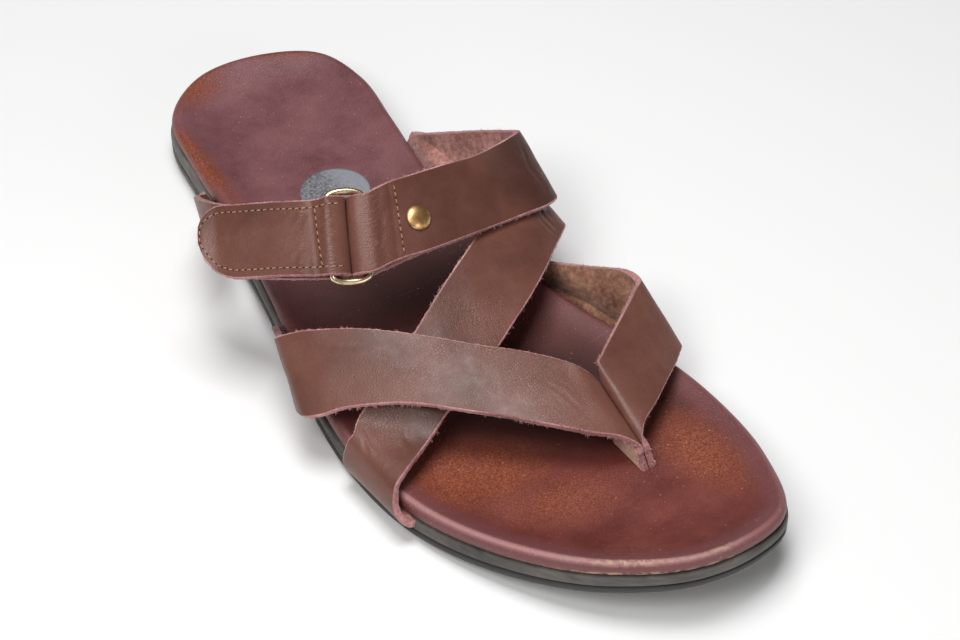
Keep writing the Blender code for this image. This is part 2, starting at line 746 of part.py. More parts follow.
entry = table(TOE_POST)[3]
slot_along = unit((entry[:3] - entry[3:]) * (1, 1, 0))
slot_up = np.array([0.0, 0.0, 1.0])
slot_axes = (slot_along, np.cross(slot_up, slot_along), slot_up)
slot_length = float(np.linalg.norm(entry[:3] - entry[3:])) + 1.75 * LEATHER
slot_size = (slot_length, 2 * LEATHER + 3.5 * GAP, 8 * LEATHER)
slot_centre = (entry[:3] + entry[3:]) / 2 + slot_up * 2 * LEATHER
for piece in (footbed, outsole):
    slot = block("slot", slot_centre, slot_axes, slot_size)
    combine(piece, slot, "DIFFERENCE")

# Origin: middle of the overall box, at the floor
pieces = (outsole, footbed, upper, buckle_strap, ring, rivet)
corners = np.array([vertex.co[:] for piece in pieces for vertex in piece.data.vertices])
middle = (corners.min(axis=0) + corners.max(axis=0)) / 2
to_origin = Matrix.Translation((-middle[0], -middle[1], -corners[:, 2].min()))
for piece in pieces:
    piece.data.transform(to_origin)
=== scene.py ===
# %% [markdown]
# A leather sandal for the right foot.
#
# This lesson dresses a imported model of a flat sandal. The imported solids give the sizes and
# the places; each piece here is a finer mesh that stands where its solid stands, with the
# material of the real thing: vegetable-tanned leather, suede, rubber and antique brass.

# %% Load the frame
import math
import random
from functools import partial

import bmesh
import bpy
import numpy as np
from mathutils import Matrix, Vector


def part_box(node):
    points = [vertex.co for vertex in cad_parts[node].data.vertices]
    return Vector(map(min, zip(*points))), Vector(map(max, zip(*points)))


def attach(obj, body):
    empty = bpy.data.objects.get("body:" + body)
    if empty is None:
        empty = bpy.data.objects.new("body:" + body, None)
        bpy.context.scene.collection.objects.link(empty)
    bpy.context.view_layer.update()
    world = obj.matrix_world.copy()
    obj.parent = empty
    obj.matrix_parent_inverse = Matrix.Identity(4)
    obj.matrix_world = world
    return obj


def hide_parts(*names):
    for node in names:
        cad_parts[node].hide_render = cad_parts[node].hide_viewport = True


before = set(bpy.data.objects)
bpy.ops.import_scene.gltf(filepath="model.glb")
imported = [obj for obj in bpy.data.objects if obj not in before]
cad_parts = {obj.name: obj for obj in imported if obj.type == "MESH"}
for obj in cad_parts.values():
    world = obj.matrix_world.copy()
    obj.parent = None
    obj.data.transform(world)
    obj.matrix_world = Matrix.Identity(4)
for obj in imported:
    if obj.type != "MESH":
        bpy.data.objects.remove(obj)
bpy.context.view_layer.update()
print("frame nodes:", sorted(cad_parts))

# %% [markdown]
# A few real sizes drive everything. A sandal is drawn from the length of its sole, the
# width across the ball of the foot and the height of the instep, so the tables below give
# every place as a share of those three. Leather thickness and gaps are plain sizes.

# %% Driving sizes
MM = 0.001
SOLE_LENGTH = 0.255
BALL_WIDTH = 0.0918
INSTEP_HEIGHT = 0.0581
LEATHER = 2.0 * MM
GAP = 0.3 * MM
RIM_HEIGHT = 4.8 * MM
TONGUE = 6.0 * MM
TAU = 2 * math.pi

# Closed outline of the sole. Columns: across, along
OUTLINE = (
    (-0.001, 0.497), (0.215, 0.461), (0.282, 0.389), (0.265, 0.301),
    (0.225, 0.172), (0.225, 0.039), (0.337, -0.092), (0.453, -0.202),
    (0.484, -0.290), (0.452, -0.389), (0.326, -0.482), (0.056, -0.496),
    (-0.180, -0.448), (-0.370, -0.366), (-0.511, -0.261), (-0.563, -0.150),
    (-0.542, -0.027), (-0.483, 0.103), (-0.440, 0.232), (-0.423, 0.343),
    (-0.379, 0.440), (-0.209, 0.493),
)


def distances(points):
    """How far along a line each of its points lies."""
    steps = np.linalg.norm(np.diff(points, axis=0), axis=1)
    return np.concatenate([[0], np.cumsum(steps)])


def evenly(line, count):
    """The same line with its points evenly spaced."""
    travelled = distances(line)
    wanted = np.linspace(0, travelled[-1], count)
    return np.array([np.interp(wanted, travelled, column) for column in line.T]).T


def curve_through(points, count, closed=False):
    """Evenly spaced points of a smooth curve through the rows of a table."""
    points = np.asarray(points, float)
    if closed:
        points = np.vstack([points[-2:], points, points[:3]])
    else:
        points = np.vstack([2 * points[0] - points[1], points, 2 * points[-1] - points[-2]])
    samples = []
    spans = range(2, len(points) - 3) if closed else range(1, len(points) - 2)
    for i in spans:
        p0, p1, p2, p3 = points[i - 1:i + 3]
        t1 = max(np.linalg.norm(p1 - p0), 1e-9) ** 0.5
        t2 = t1 + max(np.linalg.norm(p2 - p1), 1e-9) ** 0.5
        t3 = t2 + max(np.linalg.norm(p3 - p2), 1e-9) ** 0.5
        for t in np.linspace(t1, t2, 24, endpoint=False):
            a1 = p0 * (t1 - t) / t1 + p1 * t / t1
            a2 = p1 * (t2 - t) / (t2 - t1) + p2 * (t - t1) / (t2 - t1)
            a3 = p2 * (t3 - t) / (t3 - t2) + p3 * (t - t2) / (t3 - t2)
            b1 = a1 * (t2 - t) / t2 + a2 * t / t2
            b2 = a2 * (t3 - t) / (t3 - t1) + a3 * (t - t1) / (t3 - t1)
            samples.append(b1 * (t2 - t) / (t2 - t1) + b2 * (t - t1) / (t2 - t1))
    samples.append(samples[0] if closed else points[-2])
    return evenly(np.array(samples), count)


plan = np.array(OUTLINE) * (BALL_WIDTH, SOLE_LENGTH)
plan_loop = curve_through(plan, 1441, closed=True)[:-1]
cad_low, cad_high = (np.array(corner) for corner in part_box("outsole"))
plan_middle = (plan_loop.max(axis=0) + plan_loop.min(axis=0)) / 2
SHIFT = (cad_low[:2] + cad_high[:2]) / 2 - plan_middle
plan_loop = plan_loop + SHIFT
print("shift to the frame, mm:", (SHIFT / MM).round(2))

# %% [markdown]
# The sole is drawn as loops that run round it. Its outline is split at the heel tip and the
# toe tip, so that a point on one side always has a partner on the other: cross strips
# between partners then close the top and the underside with tidy faces.

# %% Sides of the outline
SIDE_POINTS = 150
heel_index = int(np.argmax(plan_loop[:, 1]))
plan_loop = np.roll(plan_loop, -heel_index, axis=0)
toe_index = int(np.argmin(plan_loop[:, 1]))
medial_side = plan_loop[:toe_index + 1]
lateral_side = np.vstack([plan_loop[toe_index:], plan_loop[:1]])[::-1]

MEDIAL = evenly(medial_side, SIDE_POINTS + 1)
LATERAL = evenly(lateral_side, SIDE_POINTS + 1)
EDGE = np.vstack([MEDIAL, LATERAL[1:-1][::-1]])
EDGE_COUNT = len(EDGE)
HEEL_Y, TOE_Y = EDGE[:, 1].max(), EDGE[:, 1].min()
tangent = np.roll(EDGE, -1, axis=0) - np.roll(EDGE, 1, axis=0)
tangent /= np.linalg.norm(tangent, axis=1)[:, None]
OUTWARD = np.stack([-tangent[:, 1], tangent[:, 0]], axis=1)
if np.sum(OUTWARD * (EDGE - EDGE.mean(axis=0))) < 0:
    OUTWARD = -OUTWARD
print("sole length, mm:", round((HEEL_Y - TOE_Y) / MM, 1))

# %% [markdown]
# Two height lines give the sole its side view. The feather line is where the footbed meets
# the rubber: level at the heel, lower at the ball, rising into the toe spring. The tread
# line is flat at the heel and the ball, a little lifted at the waist, and rises at the toe.

# %% Height lines
HEEL_THICKNESS = 10.4 * MM
WAIST_THICKNESS = 11.1 * MM
BALL_THICKNESS = 7.0 * MM
TOE_TOP = 11.9 * MM
TIP_TOP = 20.0 * MM
TOE_SPRING = 13.0 * MM
ARCH_LIFT = 1.2 * MM
WELL_DEPTH = 1.5 * MM


def smooth_step(low, high, value):
    t = np.clip((value - low) / (high - low), 0, 1)
    return t * t * (3 - 2 * t)


def step_share(y):
    """0 at the heel tip, 1 at the toe tip."""
    return (HEEL_Y - np.asarray(y, float)) / (HEEL_Y - TOE_Y)


def feather(y):
    s = step_share(y)
    waist = HEEL_THICKNESS + (WAIST_THICKNESS - HEEL_THICKNESS) * smooth_step(0.15, 0.45, s)
    ball = waist + (BALL_THICKNESS - waist) * smooth_step(0.42, 0.72, s)
    rise = np.clip((s - 0.70) / 0.30, 0, 1)
    tip = TIP_TOP - BALL_THICKNESS
    ease = TOE_TOP - BALL_THICKNESS - tip * 0.36
    return ball + tip * rise ** 2 + ease * np.sin(np.pi * rise) ** 2


def tread(y):
    s = step_share(y)
    spring = TOE_SPRING * np.clip((s - 0.70) / 0.30, 0, 1) ** 2
    arch = ARCH_LIFT * smooth_step(0.30, 0.37, s) * (1 - smooth_step(0.41, 0.48, s))
    return spring + arch


for place, y in (("heel", HEEL_Y), ("waist", 0.05 * SOLE_LENGTH), ("toe tip", TOE_Y)):
    heights = [round(float(line(y)) / MM, 1) for line in (feather, tread)]
    print(place, "feather and tread, mm:", heights)

# %% [markdown]
# Colours are picked as sRGB hex values, the way a designer notes them, and turned to the
# linear values that the shader works in by one function. One more function adds a shader
# node with its settings and its links, so each material below reads as a short recipe.
# Patterns are sized in millimetres, as they are on the real thing.

# %% Material helpers


def colour(value):
    """Linear red, green, blue and alpha of an sRGB hex colour or of a grey level."""
    if not isinstance(value, str):
        return (value, value, value, 1.0)
    channels = [int(value[i:i + 2], 16) / 255 for i in (1, 3, 5)]
    linear = [c / 12.92 if c <= 0.04045 else ((c + 0.055) / 1.055) ** 2.4 for c in channels]
    return (*linear, 1.0)


def every(size):
    """The scale of a pattern that repeats every so many millimetres."""
    return 1 / (size * MM)


def feed(tree, socket, value):
    """Give a socket a link, a hex colour or a plain value."""
    if isinstance(value, bpy.types.NodeSocket):
        tree.links.new(value, socket)
    else:
        socket.default_value = colour(value) if isinstance(value, str) else value


def add_node(tree, kind, inputs=None, output=0, stops=(), **settings):
    """A shader node with its inputs, settings and a ramp's (position, colour) stops."""
    node = tree.nodes.new("ShaderNode" + kind)
    for key, value in settings.items():
        setattr(node, key, value)
    for key, value in (inputs or {}).items():
        feed(tree, node.inputs[key], value)
    for _ in stops[2:]:
        node.color_ramp.elements.new(0.5)
    for number, (position, value) in enumerate(stops):
        node.color_ramp.elements[number].position = position
        node.color_ramp.elements[number].color = colour(value)
    return node.outputs[output]


def wire(material, **inputs):
    """Feed inputs of a material's shader. A space in an input's name is written as _."""
    shader = material.node_tree.nodes["Principled BSDF"]
    for key, value in inputs.items():
        feed(material.node_tree, shader.inputs[key.replace("_", " ")], value)


def new_material(name, **inputs):
    """A material with one Principled shader, and add_node for its own tree."""
    material = bpy.data.materials.new(name)
    material.use_nodes = True
    wire(material, **inputs)
    return material, partial(add_node, material.node_tree)


print("helpers ready; mid brown in linear:", [round(c, 3) for c in colour("#6B4A3F")])

# %% [markdown]
# A finish is built up in layers, as a maker does it: a base colour, then dye, wear and dust
# over it, each with its own amount. The relief is layered in the same way, bump over bump.

# %% Layers of colour and relief


def lay_over(add, tint, layers):
    """Colours laid over each other. Layers: rows of (amount, colour, way of mixing)."""
    for amount, over, way in layers:
        tint = add("Mix", {0: amount, 6: tint, 7: over}, 2, data_type="RGBA", blend_type=way)
    return tint


def layer_bumps(material, add, heights):
    """Bumps laid over each other. Heights: rows of (socket, depth in mm, strength)."""
    inputs = {}
    for height, depth, strength in heights:
        inputs.update({"Height": height, "Distance": depth * MM, "Strength": strength})
        inputs["Normal"] = add("Bump", inputs)
    wire(material, Normal=inputs["Normal"])


print("layer helpers ready")

# %% [markdown]
# The straps are full-grain cowhide: tanned, dyed brown, with a semi-gloss finish. The grain
# is a net of tiny pebbles about 0.6 mm wide, drawn a little coarser so that it shows, with
# finer pores in it and soft creases where the strap bends. The dye is uneven, so the colour
# drifts from a dark umber to a warmer, slightly mauve brown. The crests of the wrinkles at
# the folds are painted lighter, a painted highlight, and painted shade darkens the straps
# at a few places, such as the instep strap's medial bend.

# %% Strap leather
STRAP_GRAIN = 0.8


def strap_leather(name, base, light, dark):
    material, add = new_material(name, Roughness=0.46, IOR=1.47)
    where = add("TexCoord", output="Object")
    drift = add("TexNoise", {"Vector": where, "Scale": every(26.32), "Detail": 5.0, "Roughness": 0.6})
    broad = add("ValToRGB", {"Fac": drift}, stops=((0.28, dark), (0.5, base), (0.74, light)))
    dye = add("Attribute", output="Fac", attribute_name="dye")
    pebbles = add("TexVoronoi", {"Vector": where, "Scale": every(STRAP_GRAIN)}, feature="DISTANCE_TO_EDGE")
    furrow = add("ValToRGB", {"Fac": pebbles}, stops=((0.0, 0.0), (0.16, 1.0)))
    place = add("Attribute", output="Vector", attribute_name="strap_place")
    drawn_out = add("Mapping", {"Vector": place, "Scale": (every(2.6), every(0.55), 1.0)})
    strokes = add("TexNoise", {"Vector": drawn_out, "Scale": 1.0, "Detail": 3.0, "Roughness": 0.55})
    fold = add("Attribute", output="Fac", attribute_name="fold")
    wrinkles = add("Math", {0: strokes, 1: fold}, operation="MULTIPLY")
    # The crests of the fold wrinkles are painted lighter: a painted highlight.
    painted_crest_highlight = add("ValToRGB", {"Fac": wrinkles}, stops=((0.50, 0.0), (0.68, 0.5)))
    # Painted shade darkens the leather by its painted value; the wrinkle crests get a painted highlight.
    tint = lay_over(add, broad, (
        (dye, "#3A1C14", "MIX"), (0.09, furrow, "MULTIPLY"), (painted_crest_highlight, "#94705F", "MIX")))
    swirls = add("TexNoise", {"Vector": where, "Scale": every(3.846), "Detail": 4.0, "Roughness": 0.65})
    gloss = add("ValToRGB", {"Fac": swirls}, stops=((0.3, 0.33), (0.7, 0.47)))
    patches = add("TexNoise", {"Vector": where, "Scale": every(22.22), "Detail": 2.0, "Roughness": 0.65})
    patchy = add("ValToRGB", {"Fac": patches}, stops=((0.42, 0.15), (0.62, 1.0)))
    grain = add("Math", {0: furrow, 1: patchy}, operation="MULTIPLY", use_clamp=True)
    pores = add("TexNoise", {"Vector": where, "Scale": every(0.35), "Detail": 3.0})
    wire(material, Base_Color=tint, Roughness=gloss)
    layer_bumps(material, add, (
        (swirls, 0.30, 0.5), (grain, 0.07, 0.55), (pores, 0.05, 0.6), (wrinkles, 0.35, 0.9)))
    return material


grain_leather = strap_leather("brown_grain_leather", "#70463B", "#805347", "#57352B")
print("material:", grain_leather.name)

# %% [markdown]
# Where the hide is cut, its fibres show: a dry, pinkish mauve edge. The flesh side is suede,
# napped and matt, pink-brown under the instep strap and tan at the toes. Both scatter light
# at grazing angles, which the shader's sheen gives. The lateral toe strap's suede is a much
# lighter copy of the tan one, painted light, because the toe post lies in the straps' shade.

# %% Cut edge and suede


def fibre_leather(name, light, mid, dark, nap, sheen, depth):
    """Cut or napped hide. The width of the nap and its depth are in millimetres."""
    material, add = new_material(name, Roughness=0.92, IOR=1.45, Sheen_Weight=sheen, Sheen_Roughness=0.5)
    where = add("TexCoord", output="Object")
    tufts = add("TexNoise", {"Vector": where, "Scale": every(nap), "Detail": 6.0, "Roughness": 0.7})
    patches = add("TexNoise", {"Vector": where, "Scale": every(11.11), "Detail": 3.0})
    both = add("Math", {0: tufts, 1: patches}, operation="ADD")
    half = add("Math", {0: both, 1: 0.5}, operation="MULTIPLY")
    tint = add("ValToRGB", {"Fac": half}, stops=((0.36, dark), (0.5, mid), (0.64, light)))
    wire(material, Base_Color=tint)
    layer_bumps(material, add, ((tufts, depth, 0.9),))
    return material


cut_edge = fibre_leather("cut_leather_edge", "#D8A8A4", "#B67E7E", "#85524F", 0.7, 0.25, 0.35)
pink_suede = fibre_leather("pink_brown_suede", "#D2A096", "#A87066", "#6E4139", 1.5, 0.35, 0.6)
tan_suede = fibre_leather("tan_suede", "#C49478", "#9A6C56", "#643C2C", 1.4, 0.30, 0.5)
# A lighter copy of the tan suede: painted light for the toe post, which lies in shade.
painted_light_suede = fibre_leather("tan_suede_painted_light", "#FFDCC6", "#F2C0A8", "#C08872", 1.0, 0.35, 0.4)
loose_fibre = new_material("loose_hide_fibre", Base_Color="#E0AAA4", Roughness=0.9, IOR=1.45)[0]
print("materials:", [m.name for m in (cut_edge, pink_suede, tan_suede, painted_light_suede, loose_fibre)])

# %% [markdown]
# The footbed is a moulded cork-like core wrapped in thin, waxed leather. It is dyed dark
# red-brown and burnished: the hot brush leaves orange-brown glows at the heel rim and on both
# sides of the toe post, and the rim itself wears to a dusty mauve. The glows are soft spots
# placed in the frame's own metres; the grain is a fine net with scratches laid over it.
# Painted shade darkens the places under the straps, and a painted highlight, with some worn
# dye, runs along the front ridge of the rim. A few painted values, such as the rim and the
# scuffed toe, come with the mesh.

# %% Footbed leather
BED_GRAIN = 0.8
SPOT_HEIGHT = 0.012

# Burnished glows. Columns: across, along (metres from the origin), radius across, radius
# along, turn in degrees, strength
GLOWS = (
    (-0.017, -0.062, 0.026, 0.017, -22.0, 1.10),
    (-0.003, -0.083, 0.022, 0.013, -14.0, 0.70),
    (0.038, -0.088, 0.012, 0.026, 6.0, 1.00),
    (-0.029, 0.092, 0.006, 0.036, 6.0, 1.20),
    (-0.014, 0.120, 0.018, 0.008, 24.0, 0.90),
    (0.020, 0.121, 0.020, 0.005, -20.0, 0.60),
)
# Painted shade: places darkened where the straps shade the footbed. The same columns
PAINTED_SHADE_PLACES = (
    (0.002, 0.012, 0.056, 0.052, 0.0, 0.75),
    (0.014, -0.043, 0.052, 0.032, -24.0, 1.00),
)


def strongest_spot(add, where, spots):
    """1 in the middle of any of the soft round spots, 0 outside them."""
    strongest = None
    for across, along, wide, long, turn, strength in spots:
        place = add("Mapping", {
            "Vector": where, "Location": (across, along, SPOT_HEIGHT),
            "Rotation": (0, 0, math.radians(turn)), "Scale": (wide, long, 1.0),
        }, vector_type="TEXTURE")
        ball = add("TexGradient", {"Vector": place}, "Fac", gradient_type="SPHERICAL")
        spot = add("Math", {0: ball, 1: strength * 1.6}, operation="MULTIPLY")
        if strongest is not None:
            spot = add("Math", {0: strongest, 1: spot}, operation="MAXIMUM")
        strongest = spot
    return strongest


def footbed_leather():
    material, add = new_material("burnished_footbed_leather", Roughness=0.42, IOR=1.48)
    where = add("TexCoord", output="Object")
    drift = add("TexNoise", {"Vector": where, "Scale": every(18.18), "Detail": 5.0, "Roughness": 0.65})
    toe = add("ValToRGB", {"Fac": drift}, stops=((0.3, "#602A25"), (0.5, "#743731"), (0.72, "#86453D")))
    heel = add("ValToRGB", {"Fac": drift}, stops=((0.3, "#6E4246"), (0.5, "#815256"), (0.72, "#905F62")))
    heelward, rim, scuff, ridge = (
        add("Attribute", output="Fac", attribute_name=name) for name in ("heelward", "rim", "scuff", "ridge"))
    # Painted shade where the straps shade the footbed; the leather is also made rougher there.
    dark = strongest_spot(add, where, PAINTED_SHADE_PLACES)
    mottle = add("TexNoise", {"Vector": where, "Scale": every(4.762), "Detail": 5.0, "Roughness": 0.7})
    broken = add("ValToRGB", {"Fac": mottle}, stops=((0.30, 0.55), (0.62, 1.0)))
    glow = strongest_spot(add, where, GLOWS)
    glow = add("Math", {0: glow, 1: broken}, operation="MULTIPLY", use_clamp=True)
    sparks = add("TexNoise", {"Vector": where, "Scale": every(0.6), "Detail": 3.0, "Roughness": 0.7})
    warm = add("ValToRGB", {"Fac": sparks}, stops=((0.36, "#743424"), (0.50, "#8C4630"), (0.68, "#AE6644")))
    cells = add("TexVoronoi", {"Vector": where, "Scale": every(BED_GRAIN)}, feature="DISTANCE_TO_EDGE")
    furrow = add("ValToRGB", {"Fac": cells}, stops=((0.0, 0.0), (0.2, 1.0)))
    slanted = add("Mapping", {
        "Vector": where, "Rotation": (0, 0, math.radians(38)), "Scale": (every(9), every(0.45), every(9))})
    lines = add("TexNoise", {"Vector": slanted, "Scale": 1.0, "Detail": 3.0, "Roughness": 0.6})
    scratches = add("ValToRGB", {"Fac": lines}, stops=((0.62, 0.0), (0.72, 0.12)))
    flecks = add("TexNoise", {"Vector": where, "Scale": every(1.667), "Detail": 5.0, "Roughness": 0.75})
    flecked = add("ValToRGB", {"Fac": flecks}, stops=((0.46, 0.0), (0.53, 1.0)))
    worn = add("Math", {0: scuff, 1: flecked}, operation="MULTIPLY", use_clamp=True)
    dots = add("TexNoise", {"Vector": where, "Scale": every(0.7), "Detail": 0.0, "Roughness": 0.65})
    specks = add("ValToRGB", {"Fac": dots}, stops=((0.825, 0.0), (0.85, 0.5)))
    # The ridge value lays a painted highlight, with some worn dye, along the front of the rim.
    tint = lay_over(add, toe, (
        (heelward, heel, "MIX"), (dark, "#421E1B", "MIX"), (glow, warm, "MIX"), (rim, "#7A4A4C", "MIX"),
        (0.14, furrow, "MULTIPLY"), (scratches, "#A87A70", "MIX"), (ridge, "#C08C8C", "MIX"),
        (specks, "#D2A48C", "MIX"), (worn, "#C8A890", "MIX")))
    gloss = add("ValToRGB", {"Fac": drift}, stops=((0.3, 0.36), (0.7, 0.50)))
    wire(material, Base_Color=tint, Roughness=lay_over(add, gloss, ((dark, colour(0.75), "MIX"),)))
    layer_bumps(material, add, (
        (furrow, 0.09, 0.55), (mottle, 0.22, 0.4), (scratches, 0.15, 0.5), (worn, 0.2, 0.6)))
    return material


bed_leather = footbed_leather()
print("material:", bed_leather.name, "with", len(GLOWS), "glows")

# %% [markdown]
# The outsole is moulded rubber, a dark brown-grey that looks dusty where it catches light.
# It is matt, with faint streaks that run along the side from buffing. Toward the toe it is
# painted darker, a painted shade, and its lower tread band is darker everywhere.

# %% Sole rubber


def sole_rubber(name, base, light, dark):
    material, add = new_material(name, Roughness=0.68, IOR=1.52)
    where = add("TexCoord", output="Object")
    stretched = add("Mapping", {"Vector": where, "Scale": (0.35, 0.35, 3.5)})
    streaks = add("TexNoise", {"Vector": stretched, "Scale": every(3.03), "Detail": 6.0, "Roughness": 0.65})
    patches = add("TexNoise", {"Vector": where, "Scale": every(16.67), "Detail": 4.0, "Roughness": 0.65})
    both = add("Math", {0: streaks, 1: patches}, operation="ADD")
    half = add("Math", {0: both, 1: 0.5}, operation="MULTIPLY", use_clamp=True)
    tint = add("ValToRGB", {"Fac": half}, stops=((0.36, dark), (0.5, base), (0.66, light)))
    low = add("Attribute", output="Fac", attribute_name="tread_band")
    pits = add("TexNoise", {"Vector": where, "Scale": every(0.5), "Detail": 2.0, "Roughness": 0.65})
    # The tread_band value darkens the lower band and, as painted shade, the side toward the toe.
    wire(material, Base_Color=lay_over(add, tint, ((low, "#363432", "MIX"),)))
    layer_bumps(material, add, ((streaks, 0.18, 0.5), (pits, 0.05, 0.5)))
    return material


rubber = sole_rubber("dark_brown_rubber", "#68635F", "#86807A", "#45403E")
print("material:", rubber.name)

# %% [markdown]
# The rivet and the ring are brass. The rivet is antiqued, so brown stays in its hollows; the
# ring is plated paler and polished by wear. The thread is waxed and tan. The worn disc near
# the heel of the footbed is a thin silver-grey foil, rubbed through in places.

# %% Metals, thread and foil


def worn_metal(name, bright, dull, roughness):
    material, add = new_material(name, Metallic=1.0, Roughness=roughness)
    where = add("TexCoord", output="Object")
    stain = add("TexNoise", {"Vector": where, "Scale": every(2.381), "Detail": 5.0, "Roughness": 0.6})
    tint = add("ValToRGB", {"Fac": stain}, stops=((0.35, dull), (0.6, bright)))
    gloss = add("ValToRGB", {"Fac": stain}, stops=((0.3, roughness + 0.14), (0.7, roughness - 0.06)))
    wire(material, Base_Color=tint, Roughness=gloss)
    return material


def waxed_thread():
    material, add = new_material("tan_waxed_thread", Roughness=0.6, IOR=1.5)
    where = add("TexCoord", output="Object")
    plies = add("TexNoise", {"Vector": where, "Scale": every(0.6667), "Detail": 2.0})
    wire(material, Base_Color=add("ValToRGB", {"Fac": plies}, stops=((0.35, "#8E6850"), (0.65, "#BE9474"))))
    return material


def rubbed_foil():
    material, add = new_material("rubbed_silver_foil", Metallic=0.25, Roughness=0.45)
    where = add("TexCoord", output="Object")
    rub = add("TexNoise", {"Vector": where, "Scale": every(1.111), "Detail": 6.0, "Roughness": 0.75})
    tint = add("ValToRGB", {"Fac": rub}, stops=((0.36, "#4E4A4C"), (0.50, "#85848A"), (0.66, "#A9AAB2")))
    across = add("SeparateXYZ", {"Vector": where}, "X")
    kept = add("MapRange", {"Value": across, "From Min": 0.001, "From Max": 0.008, "To Max": 0.75})
    wire(material, Base_Color=lay_over(add, tint, ((kept, "#A6A9B2", "MIX"),)))
    return material


rivet_brass = worn_metal("antique_brass", "#EEC48E", "#AC7C4C", 0.36)
ring_brass = worn_metal("pale_plated_brass", "#E8D8B8", "#B49C74", 0.28)
thread = waxed_thread()
# A dark patch at each needle hole: painted shade, the shade inside the hole.
needle_hole_shade = new_material("needle_hole_shade", Base_Color="#2C1812", Roughness=0.9, IOR=1.45)[0]
foil = rubbed_foil()
print("materials:", rivet_brass.name, ring_brass.name, thread.name, foil.name)

# %% [markdown]
# The outsole is one mesh: loops that climb from the tread round the side and over the top
# edge, closed by cross strips. Its side has an upper band, a thin groove and a lower tread
# band. The underside is not in view, so its pattern is a plain guess: shallow curved
# grooves over the ball and the heel, as such soles usually have.

# %% Loop and cap helpers


def ring_at(inset, height):
    """A loop round the sole, inset from its outline, at a height given by a function."""
    flat = EDGE - OUTWARD * inset
    return np.column_stack([flat, height(flat[:, 1])])


def wrap_faces(rounds, around, first=0, joined=False):
    """Faces between closed rounds of points; joined rounds also close end to end."""
    faces = []
    for r in range(rounds if joined else rounds - 1):
        low, high = first + r * around, first + (r + 1) % rounds * around
        for k in range(around):
            n = (k + 1) % around
            faces.append((low + k, low + n, high + n, high + k))
    return faces


def circle(centre, one_way, other_way, around):
    """Points round a centre; the two ways are the circle's half axes."""
    turns = [TAU * k / around for k in range(around)]
    return [centre + one_way * math.cos(turn) + other_way * math.sin(turn) for turn in turns]


def close_with_strips(points, faces, start, height, steps):
    """Cross strips between partner points of a loop; height(x, y) shapes them."""
    rows = []
    for i in range(1, SIDE_POINTS):
        near, far = start + i, start + EDGE_COUNT - i
        row = [near]
        for j in range(1, steps):
            p = points[near] + (points[far] - points[near]) * j / steps
            points.append(np.array([p[0], p[1], height(p[0], p[1])]))
            row.append(len(points) - 1)
        rows.append(row + [far])
    for a, b in zip(rows, rows[1:]):
        for j in range(steps):
            faces.append((a[j], b[j], b[j + 1], a[j + 1]))
    for tip, row in ((start, rows[0]), (start + SIDE_POINTS, rows[-1])):
        for j in range(steps):
            faces.append((tip, row[j], row[j + 1]))


def mesh_piece(name, points, faces, materials, slots=None):
    """A smooth piece. Slots: which of the materials each face has."""
    mesh = bpy.data.meshes.new(name)
    mesh.from_pydata([tuple(float(c) for c in p) for p in points], [], faces)
    for material in materials:
        mesh.materials.append(material)
    if slots is not None:
        mesh.polygons.foreach_set("material_index", slots)
    shape = bmesh.new()
    shape.from_mesh(mesh)
    bmesh.ops.recalc_face_normals(shape, faces=shape.faces)
    shape.to_mesh(mesh)
    shape.free()
    mesh.polygons.foreach_set("use_smooth", [True] * len(mesh.polygons))
    piece = bpy.data.objects.new(name, mesh)
    bpy.context.collection.objects.link(piece)
    return piece


def paint(piece, name, values):
    """A value for each point, which a material can read by its name."""
    layer = piece.data.attributes.new(name, "FLOAT", "POINT")
    layer.data.foreach_set("value", np.asarray(values, float))


def dress(piece, node, stands_for=True):
    """The piece rides on the root and may stand for the node's solid, which is then hidden."""
    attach(piece, "root")
    if stands_for:
        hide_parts(node)
    print(piece.name, "faces:", len(piece.data.polygons))


print("a loop has", EDGE_COUNT, "points")

# %% [markdown]
# The side of the sole is drawn as a table of loops from the floor up: a small radius, a flat
# tread band, a thin groove, an upper band and the edge that meets the footbed.

# %% Outsole
TREAD_PITCH = 7.0 * MM
TREAD_DEPTH = 1.0 * MM
TREAD_CURVE = 3.0
# Columns: inset in metres, share of the local thickness
SOLE_SIDE = (
    (0.0022, 0.00), (0.0012, 0.005), (0.0004, 0.05), (-0.0002, 0.11), (-0.0006, 0.18),
    (-0.0008, 0.28), (-0.0008, 0.38), (-0.0006, 0.43), (-0.0001, 0.455), (0.0004, 0.47),
    (0.0004, 0.50), (-0.0001, 0.515), (-0.0006, 0.54), (-0.0008, 0.60), (-0.0008, 0.80),
    (-0.0006, 0.92), (-0.0002, 0.97), (0.0005, 0.995), (0.0015, 1.00),
)


def groove(x, y):
    """Depth of the tread pattern: curved grooves at the ball and the heel."""
    s = float(step_share(y))
    here = max(
        float(smooth_step(0.50, 0.53, s) * (1 - smooth_step(0.86, 0.89, s))),
        float(smooth_step(0.05, 0.08, s) * (1 - smooth_step(0.24, 0.27, s))),
    )
    wave = math.sin((y + TREAD_CURVE * x * x) / TREAD_PITCH * TAU)
    return TREAD_DEPTH * here * float(smooth_step(0.35, 0.75, wave))


def make_outsole():
    rings = [ring_at(0.0060, tread), ring_at(0.0035, tread)]
    for inset, share in SOLE_SIDE:
        rings.append(ring_at(inset, lambda y, k=share: tread(y) + (feather(y) - tread(y)) * k))
    rings.append(ring_at(0.0065, feather))
    rings.append(ring_at(0.0085, lambda y: feather(y) - WELL_DEPTH))
    points = [p for ring in rings for p in ring]
    faces = wrap_faces(len(rings), EDGE_COUNT)
    close_with_strips(points, faces, 0, lambda x, y: float(tread(y)) + groove(x, y), steps=44)
    top = (len(rings) - 1) * EDGE_COUNT
    close_with_strips(points, faces, top, lambda x, y: float(feather(y)) - WELL_DEPTH, steps=8)
    return mesh_piece("rubber_outsole", points, faces, [rubber])


